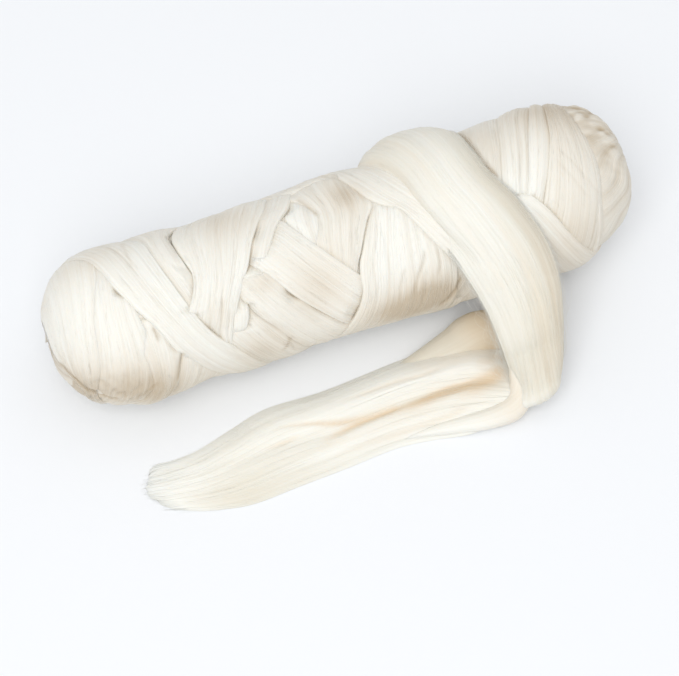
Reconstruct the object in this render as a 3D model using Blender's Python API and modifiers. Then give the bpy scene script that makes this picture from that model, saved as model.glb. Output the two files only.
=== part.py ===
"""A long roll of wool roving with its loose end laid out in front of it.

Metres, +Z up. The roll lies along X on its small flat spot, and the loose end comes up over its back,
slopes down in front, folds under itself and lies along the surface towards -X.

An angle on the roll is counted in degrees from the top (0) down the front (90 faces -Y).
"""

import math

import bmesh
import bpy
import numpy as np
from mathutils import Matrix, Vector

MM = 0.001

# ---------------------------------------------------------------- driving sizes

ROLL_LENGTH = 0.280
AXIS_HEIGHT = 0.0355  # middle of the roll above the surface it lies on
FLAT_SPOT_DEPTH = 0.0008  # how far the underside is pressed flat
RINGS = 92  # steps along the roll
STEPS_ROUND = 52  # steps round it

WINDING_EDGE = 0.0036  # width of the soft step at a winding's edge
WINDING_CROWN = 0.0016  # how far a winding's middle stands above its sides
WINDING_END = 10.0  # degrees over which a winding dips under the next one
RADIAL_FOLDS = 9  # turned-in folds on each end of the roll
RADIAL_FOLD_DEPTH = 0.0009

WINDINGS_DEPTH = 0.0026  # height of the windings under the loose end
CLEARANCE = 0.0009  # the loose end lies this far off the roll
SECTIONS = 68  # cross-sections along the loose end
POINTS_ACROSS = 11  # points across it on each face
EDGE_THICKNESS = 0.0016  # at the loose end's rounded sides

WOOL = (0.93, 0.90, 0.83, 1.0)
WOOL_LOOSE = (0.95, 0.92, 0.85, 1.0)

# Radius along the roll, from its left end to its right, and how far the slightly bent roll's middle lies
# behind its straight axis.
PROFILE_COLUMNS = ("x_mm", "radius_mm", "bend_mm")
PROFILE = (
    (-140.0, 0.0, -1.4),
    (-139.3, 7.5, -1.4),
    (-137.5, 13.5, -1.4),
    (-134.0, 19.5, -1.3),
    (-130.0, 24.6, -1.1),
    (-126.0, 27.6, -0.9),
    (-121.0, 30.7, -0.8),
    (-114.0, 32.8, -0.8),
    (-106.0, 34.6, -0.9),
    (-98.0, 35.3, -1.0),
    (-86.0, 34.7, -1.1),
    (-66.0, 33.5, -1.1),
    (-36.0, 33.1, -0.9),
    (-4.0, 32.9, -0.5),
    (20.0, 33.1, -0.3),
    (40.0, 34.5, 0.0),
    (60.0, 35.7, 0.4),
    (84.0, 36.3, 1.5),
    (98.0, 36.3, 2.4),
    (107.0, 35.1, 2.8),
    (115.0, 32.3, 2.8),
    (121.0, 30.0, 2.7),
    (127.0, 26.6, 2.7),
    (133.0, 23.0, 2.8),
    (137.5, 17.0, 2.8),
    (139.4, 9.0, 2.8),
    (140.0, 0.0, 2.8),
)

# The windings that show, in the order in which they were wound. A winding is a straight strip on the
# roll's unrolled side: its middle crosses the top (0 degrees) at top_x and moves by advance for each degree.
WINDING_COLUMNS = ("name", "top_x", "advance", "width", "from_deg", "to_deg", "height")
WINDINGS = (
    ("ring_left", -126.0, -0.05, 17.0, -180.0, 180.0, 0.8),
    ("ring_left_inner", -108.0, -0.10, 17.0, -180.0, 180.0, 1.0),
    ("ring_right", 116.0, -0.05, 16.0, -180.0, 180.0, 0.8),
    ("back_fall_1", -32.0, -0.25, 24.0, 120.0, 320.0, 1.2),
    ("back_fall_2", 62.0, -0.25, 26.0, 100.0, 310.0, 1.4),
    ("back_rise_1", -130.0, 0.38, 26.0, 130.0, 330.0, 2.0),
    ("back_rise_2", -82.0, 0.38, 24.0, 120.0, 300.0, 2.2),
    ("upright_low", -88.0, -0.16, 18.0, 30.0, 150.0, 1.0),
    ("upright_right", 21.0, -0.20, 38.0, -100.0, 130.0, 0.8),
    ("upright_middle", -1.0, -0.25, 18.5, -70.0, 42.0, 1.4),
    ("slant_far_right", 19.0, 0.36, 17.0, -110.0, 95.0, 1.9),
    ("slant_low", -81.5, 0.40, 16.5, 44.0, 150.0, 1.0),
    ("slant_mid", -59.0, 0.40, 16.5, 34.0, 140.0, 1.6),
    ("slant_high", -36.5, 0.45, 24.5, -22.0, 130.0, 2.2),
    ("upright_narrow", -36.0, -0.40, 11.0, -60.0, 18.0, 2.5),
    ("upright_wide", -55.5, -0.25, 28.0, -130.0, 42.0, 2.4),
    ("slant_wide", -90.5, 0.353, 31.0, -120.0, 150.0, 3.0),
    ("right_turns", 88.0, -0.23, 20.0, -150.0, 60.0, 1.5),
    ("right_band", 112.0, -0.23, 23.0, -140.0, 75.0, 2.3),
    ("right_slant", 66.0, 0.42, 20.0, 20.0, 140.0, 3.0),
)

# The loose end where it lies on the roll: both sides, as place along the roll and angle.
ON_ROLL_COLUMNS = ("left_x", "left_deg", "right_x", "right_deg", "thickness")
ON_ROLL = (
    (22.0, -147.0, 48.0, -147.0, 1.8),
    (20.0, -127.0, 51.0, -127.0, 3.4),
    (18.5, -104.0, 55.0, -104.0, 5.4),
    (18.5, -80.0, 59.0, -80.0, 7.0),
    (19.5, -57.0, 62.0, -57.0, 8.0),
    (22.5, -34.0, 64.5, -34.0, 8.4),
    (26.0, -12.0, 66.0, -12.0, 8.4),
    (29.5, 9.0, 69.0, 9.0, 8.2),
    (34.5, 28.0, 76.0, 28.0, 8.0),
)

# The loose end where it leaves the roll, slopes down, folds under and lies flat: both sides, how far its
# middle bows outwards, its thickness, where the thickness lies (1 all on the outer face, 0 half on each,
# -1 all on the inner face), and the height and place (0 left to 1 right) of the two lobes' valley.
FREE_COLUMNS = (
    "left_x", "left_y", "left_z", "right_x", "right_y", "right_z",
    "bow", "thickness", "seat", "lobes", "valley",
)
FREE = (
    (41.5, -30.5, 58.5, 82.4, -31.5, 61.5, 2.4, 8.0, 0.7, 0.0, 0.5),
    (47.0, -42.0, 49.5, 85.2, -42.5, 53.5, 3.0, 8.0, 0.2, 0.0, 0.5),
    (51.0, -53.0, 40.0, 85.8, -52.0, 44.0, 3.2, 8.2, 0.0, 0.0, 0.5),
    (53.0, -63.5, 30.5, 85.0, -60.5, 35.5, 3.2, 8.4, 0.0, 0.0, 0.5),
    (53.5, -74.0, 22.0, 83.4, -67.5, 28.0, 3.4, 8.6, 0.0, 0.0, 0.5),
    (52.0, -83.5, 14.5, 80.4, -73.0, 21.5, 4.4, 8.6, 0.0, 0.0, 0.5),
    (46.0, -92.0, 7.6, 77.0, -74.0, 14.5, 5.2, 9.0, 0.0, 0.4, 0.5),
    (36.5, -92.0, 3.2, 73.0, -67.0, 8.6, 3.6, 9.8, -0.4, 1.4, 0.5),
    (27.0, -89.0, 1.2, 66.0, -54.5, 3.4, 1.0, 10.8, -0.8, 2.4, 0.5),
    (14.0, -86.0, 0.0, 49.0, -43.5, 0.6, 0.0, 11.0, -1.0, 3.0, 0.48),
    (-3.0, -84.5, 0.0, 14.0, -42.0, 0.0, 0.0, 10.4, -1.0, 3.0, 0.42),
    (-27.0, -86.5, 0.0, -24.0, -45.5, 0.0, 0.0, 9.4, -1.0, 2.5, 0.40),
    (-50.0, -88.0, 0.0, -52.0, -45.5, 0.0, 0.0, 8.2, -1.0, 1.4, 0.42),
    (-72.0, -89.5, 0.0, -71.0, -50.5, 0.0, 0.0, 6.8, -1.0, 0.6, 0.5),
    (-88.0, -87.0, 0.0, -88.0, -55.5, 0.0, 0.0, 5.2, -1.0, 0.2, 0.5),
    (-104.0, -83.0, 0.0, -104.0, -57.0, 0.0, 0.0, 3.4, -1.0, 0.0, 0.5),
    (-114.0, -77.0, 0.0, -114.0, -60.5, 0.0, 0.0, 2.2, -1.0, 0.0, 0.5),
    (-117.0, -73.0, 0.0, -117.0, -65.0, 0.0, 0.0, 1.8, -1.0, 0.0, 0.5),
)


def table(rows, columns):
    """The rows of a table as dictionaries under their columns' names."""
    return [dict(zip(columns, row)) for row in rows]


# ---------------------------------------------------------------- the roll's form


PROFILE_X = np.array([row["x_mm"] for row in table(PROFILE, PROFILE_COLUMNS)]) * MM
PROFILE_RADIUS = np.array([row["radius_mm"] for row in table(PROFILE, PROFILE_COLUMNS)]) * MM
PROFILE_BEND = np.array([row["bend_mm"] for row in table(PROFILE, PROFILE_COLUMNS)]) * MM


def radius_at(x):
    """The roll's radius at a place along it, before its windings are raised."""
    return float(np.interp(x, PROFILE_X, PROFILE_RADIUS))


def bend_at(x):
    """How far the roll's middle lies behind its straight axis."""
    return float(np.interp(x, PROFILE_X, PROFILE_BEND))


def soft_step(value):
    """A smooth rise from 0 to 1."""
    value = min(max(value, 0.0), 1.0)
    return value * value * (3.0 - 2.0 * value)


def cover(winding, x, degrees):
    """How fully a winding covers a place on the roll, and its height there, whichever turn it is on."""
    best, height = 0.0, 0.0
    for turn in (-360.0, 0.0, 360.0):
        angle = degrees + turn
        middle = (winding["top_x"] + winding["advance"] * angle) * MM
        half_width = 0.5 * winding["width"] * MM
        across = soft_step(0.5 + (half_width - abs(x - middle)) / WINDING_EDGE)
        run = min(angle - winding["from_deg"], winding["to_deg"] - angle)
        share = across * soft_step(0.5 + run / WINDING_END)
        if share > best:
            best = share
            crown = 1.0 - min(abs(x - middle) / half_width, 1.0) ** 2
            height = winding["height"] * MM + WINDING_CROWN * crown
    return best, height


def winding_height(x, degrees):
    """Height of the top winding above the turned form, each one laid over those wound before it."""
    height = 0.0
    for winding in table(WINDINGS, WINDING_COLUMNS):
        share, top = cover(winding, x, degrees)
        height += (top - height) * share
    return height


def end_fold_height(x, degrees):
    """The turned-in folds that run to the middle of each end."""
    from_end = 0.5 * ROLL_LENGTH - abs(x)
    near = soft_step((0.026 - from_end) / 0.012) * soft_step(radius_at(x) / 0.014)
    side = -1.0 if x < 0.0 else 1.0
    swirl = 55.0 * from_end / 0.026
    ridge = math.cos(math.radians(RADIAL_FOLDS * (degrees + side * swirl)))
    return RADIAL_FOLD_DEPTH * near * ridge


def surface_radius(x, degrees):
    """The finished radius of the roll's side. Its windings are pressed flatter underneath."""
    body = soft_step((0.5 * ROLL_LENGTH - abs(x)) / 0.018)
    pressed = 1.0 - 0.8 * soft_step((abs(degrees) - 125.0) / 50.0)
    return radius_at(x) + winding_height(x, degrees) * body * pressed + end_fold_height(x, degrees)


def sag_at(x, degrees):
    """How far the soft underside sinks, so that the waist rests too."""
    under = soft_step((abs(degrees) - 110.0) / 70.0)
    inner = soft_step((0.118 - abs(x)) / 0.02)
    short = AXIS_HEIGHT + FLAT_SPOT_DEPTH - radius_at(x)
    return max(short, 0.0) * under * inner


def roll_point(x, degrees, radius):
    """A point round the roll's middle line."""
    angle = math.radians(degrees)
    return Vector((x, bend_at(x) - radius * math.sin(angle), AXIS_HEIGHT + radius * math.cos(angle)))


# ---------------------------------------------------------------- Blender helpers


def clear_scene():
    for obj in list(bpy.data.objects):
        bpy.data.objects.remove(obj, do_unlink=True)


def material(name, colour, roughness):
    """A plain Principled material."""
    made = bpy.data.materials.new(name)
    made.use_nodes = True
    shader = made.node_tree.nodes["Principled BSDF"]
    shader.inputs["Base Color"].default_value = colour
    shader.inputs["Roughness"].default_value = roughness
    shader.inputs["Metallic"].default_value = 0.0
    made.diffuse_color = colour
    return made


def add_part(name, mesh, collection, finish):
    part = bpy.data.objects.new(name, mesh)
    collection.objects.link(part)
    mesh.materials.clear()
    mesh.materials.append(finish)
    mesh.shade_smooth()
    mesh.set_sharp_from_angle(angle=math.radians(50.0))
    return part


# ---------------------------------------------------------------- wound roll


def turned_roll():
    """The roll's profile turned about its axis with a Screw modifier, as a plain mesh lying along X."""
    stations = np.interp(
        np.linspace(0.0, 1.0, RINGS + 1), np.linspace(0.0, 1.0, len(PROFILE_X)), PROFILE_X
    )
    even = np.linspace(PROFILE_X[0], PROFILE_X[-1], RINGS + 1)
    stations = 0.45 * stations + 0.55 * even
    profile = bpy.data.meshes.new("roll_profile")
    points = [(radius_at(x), 0.0, x) for x in reversed(stations)]
    edges = [(index, index + 1) for index in range(RINGS)]
    profile.from_pydata(points, edges, [])
    turned = bpy.data.objects.new("roll_profile", profile)
    bpy.context.scene.collection.objects.link(turned)
    screw = turned.modifiers.new("turn", "SCREW")
    screw.axis = "Z"
    screw.angle = math.tau
    screw.steps = STEPS_ROUND
    screw.render_steps = STEPS_ROUND
    screw.use_merge_vertices = True
    screw.merge_threshold = 0.00005
    graph = bpy.context.evaluated_depsgraph_get()
    mesh = bpy.data.meshes.new_from_object(turned.evaluated_get(graph))
    bpy.data.objects.remove(turned, do_unlink=True)
    mesh.transform(Matrix.Rotation(0.5 * math.pi, 4, "Y"))
    return mesh


def wound_roll(collection):
    """The roll: a turned form with its main windings raised, its end folds and its small flat spot."""
    mesh = turned_roll()
    for vertex in mesh.vertices:
        x, y, z = vertex.co
        radius = math.hypot(y, z)
        if radius < 1e-6:
            vertex.co = (x, bend_at(x), AXIS_HEIGHT)
            continue
        degrees = math.degrees(math.atan2(-y, z))
        point = roll_point(x, degrees, surface_radius(x, degrees))
        point.z -= sag_at(x, degrees)
        point.z = max(point.z, 0.0)
        vertex.co = point
    mesh.update()
    return add_part("wound_roll", mesh, collection, material("wool_wound", WOOL, 0.62))


# ---------------------------------------------------------------- loose end


def middle_on_roll(row, share):
    """A point of the loose end's guiding surface where it lies on the roll; share runs left to right."""
    x = (row["left_x"] + (row["right_x"] - row["left_x"]) * share) * MM
    degrees = row["left_deg"] + (row["right_deg"] - row["left_deg"]) * share
    return roll_point(x, degrees, radius_at(x) + WINDINGS_DEPTH + CLEARANCE)


def middle_free(row, share):
    """A point of the loose end's guiding surface off the roll, bowed outwards between its sides."""
    left = Vector((row["left_x"], row["left_y"], row["left_z"])) * MM
    right = Vector((row["right_x"], row["right_y"], row["right_z"])) * MM
    outwards = Vector((0.25, -0.75, 0.60)).normalized()
    bow = 4.0 * share * (1.0 - share) * row["bow"] * MM
    return left.lerp(right, share) + outwards * bow


def smooth_between(rows, count):
    """Rows of numbers made into many by a Catmull-Rom curve through them."""
    rows = np.array(rows, dtype=float)
    padded = np.concatenate(([2.0 * rows[0] - rows[1]], rows, [2.0 * rows[-1] - rows[-2]]))
    result = []
    for place in np.linspace(0.0, len(rows) - 1.0, count):
        start = min(int(place), len(rows) - 2)
        t = place - start
        a, b, c, d = padded[start:start + 4]
        curve = 2.0 * b + (c - a) * t + (2.0 * a - 5.0 * b + 4.0 * c - d) * t**2
        result.append(0.5 * (curve + (3.0 * b - a - 3.0 * c + d) * t**3))
    return np.array(result)


def half_thickness(share, thickness):
    """Half the thickness across the loose end, full in the middle and rounded off at its sides."""
    roundness = max(1.0 - abs(2.0 * share - 1.0) ** 2.6, 0.0) ** 0.5
    return max(0.5 * thickness * roundness, 0.5 * EDGE_THICKNESS)


def lobe_height(share, lobes, valley):
    """Two soft lobes with a valley between them."""
    place = 0.5 * share / valley if share < valley else 0.5 + 0.5 * (share - valley) / (1.0 - valley)
    return -lobes * math.cos(4.0 * math.pi * place) * math.sin(math.pi * share)


def clear_of_roll(point):
    """Moves a point that is too near the roll straight out to its clearance."""
    if abs(point.x) > 0.5 * ROLL_LENGTH:
        return point
    forward = bend_at(point.x) - point.y
    degrees = math.degrees(math.atan2(forward, point.z - AXIS_HEIGHT))
    radius = math.hypot(forward, point.z - AXIS_HEIGHT)
    least = surface_radius(point.x, degrees) + CLEARANCE
    return roll_point(point.x, degrees, max(radius, least))


def loose_end(collection):
    """The loose end: one soft band lofted through its sections, closed and flat where it lies."""
    on_roll = table(ON_ROLL, ON_ROLL_COLUMNS)
    free = table(FREE, FREE_COLUMNS)
    shares = [0.5 - 0.5 * math.cos(math.pi * i / (POINTS_ACROSS - 1)) for i in range(POINTS_ACROSS)]
    rows = [[middle_on_roll(row, share) for share in shares] for row in on_roll]
    rows += [[middle_free(row, share) for share in shares] for row in free]
    middle = smooth_between([[tuple(point) for point in row] for row in rows], SECTIONS)
    form = [(row["thickness"], 1.0, 0.0, 0.5) for row in on_roll]
    form += [(row["thickness"], row["seat"], row["lobes"], row["valley"]) for row in free]
    form = smooth_between(form, SECTIONS)

    along = np.gradient(middle, axis=0)
    across = np.gradient(middle, axis=1)
    normals = np.cross(across, along)
    normals /= np.linalg.norm(normals, axis=2, keepdims=True)

    body = bmesh.new()
    rings = []
    for i in range(SECTIONS):
        thickness, seat, lobes, valley = form[i]
        outer, inner = [], []
        for j, share in enumerate(shares):
            half = half_thickness(share, thickness * MM)
            centre = Vector(middle[i][j])
            normal = Vector(normals[i][j])
            raised = lobe_height(share, lobes, valley) * MM
            outer.append(centre - normal * half * (1.0 + seat))
            inner.append(centre + normal * (half * (1.0 - seat) + raised))
        ring = []
        for point in outer + inner[::-1]:
            point = clear_of_roll(point)
            point.z = max(point.z, 0.0)
            ring.append(body.verts.new(point))
        rings.append(ring)
    for before, after in zip(rings, rings[1:]):
        for j in range(len(before)):
            k = (j + 1) % len(before)
            body.faces.new((before[j], before[k], after[k], after[j]))
    for ring in (rings[0], rings[-1]):
        for j in range(POINTS_ACROSS - 1):
            k = len(ring) - 1 - j
            body.faces.new((ring[j], ring[j + 1], ring[k - 1], ring[k]))
    bmesh.ops.recalc_face_normals(body, faces=body.faces)
    bmesh.ops.triangulate(body, faces=body.faces)
    mesh = bpy.data.meshes.new("loose_end")
    body.to_mesh(mesh)
    body.free()
    return add_part("loose_end", mesh, collection, material("wool_loose", WOOL_LOOSE, 0.66))


def main():
    clear_scene()
    collection = bpy.data.collections.new("wool_roving")
    bpy.context.scene.collection.children.link(collection)
    wound_roll(collection)
    loose_end(collection)


main()
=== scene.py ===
"""The looks of a long roll of combed wool and its loose end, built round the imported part.

Millimetres in the tables and in the shaping code, metres in the meshes. An angle on the roll is counted
in degrees from its top (0) down its front (90 faces -Y).
"""

import math

import bpy
import numpy as np
from mathutils import Matrix, Vector


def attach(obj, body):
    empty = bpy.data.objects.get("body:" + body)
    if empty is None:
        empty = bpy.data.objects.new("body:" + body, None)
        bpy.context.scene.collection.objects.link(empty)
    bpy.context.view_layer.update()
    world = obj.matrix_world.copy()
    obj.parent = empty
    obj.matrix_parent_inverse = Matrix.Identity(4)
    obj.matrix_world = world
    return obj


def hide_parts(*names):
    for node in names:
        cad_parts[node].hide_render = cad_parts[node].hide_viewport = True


bl_info = {
    "name": "Wool Roving",
    "version": (1, 0, 0),
    "blender": (4, 5, 0),
    "location": "View3D > Sidebar > Roving",
    "description": "Windings, loose end and fibres of a roll of combed wool",
    "category": "Object",
}

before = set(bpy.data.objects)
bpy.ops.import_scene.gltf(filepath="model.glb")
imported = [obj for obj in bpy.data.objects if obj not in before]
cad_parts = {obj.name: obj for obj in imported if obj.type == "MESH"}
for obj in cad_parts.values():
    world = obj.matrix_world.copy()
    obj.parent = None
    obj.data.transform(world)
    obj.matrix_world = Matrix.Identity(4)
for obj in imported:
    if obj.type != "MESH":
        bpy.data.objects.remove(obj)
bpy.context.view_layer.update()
MM = 0.001

# ---------------------------------------------------------------- the roll's form

# The turned form. Columns: x, radius there, and how far the slightly bent middle lies behind the axis.
PROFILE = (
    (-140, 0, -1.4),
    (-139.3, 7.5, -1.4),
    (-137.5, 13.5, -1.4),
    (-134, 19.5, -1.3),
    (-130, 24.6, -1.1),
    (-126, 27.6, -0.9),
    (-121, 30.7, -0.8),
    (-114, 32.8, -0.8),
    (-106, 34.6, -0.9),
    (-98, 35.3, -1),
    (-86, 34.7, -1.1),
    (-66, 33.5, -1.1),
    (-36, 33.1, -0.9),
    (-4, 32.9, -0.5),
    (20, 33.1, -0.3),
    (40, 34.5, 0),
    (60, 35.7, 0.4),
    (84, 36.3, 1.5),
    (98, 36.3, 2.4),
    (107, 35.1, 2.8),
    (115, 32.3, 2.8),
    (121, 30, 2.7),
    (127, 26.6, 2.7),
    (133, 23, 2.8),
    (137.5, 17, 2.8),
    (139.4, 9, 2.8),
    (140, 0, 2.8),
)
HALF_LENGTH = 140.0
WIDEST = max(radius for _, radius, _ in PROFILE)
ARC_PER_DEGREE = 0.61  # along the roll's surface
END_START = 112.0  # where the roll begins to turn in towards its ends
HUMP = 0.85  # how unevenly the wool is wound

# Places where the roll is fuller or thinner: x, angle, reach along x, reach in degrees and how much.
HUMPS = (
    (-97, -62, 19, 36, -2.8),
    (-66, -62, 12, 32, -1.2),
    (-47, -62, 9, 30, -0.8),
    (2, -62, 12, 30, 2),
)
SOFT_FLOOR = 0.6  # height under which the underside flattens against the surface

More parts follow.
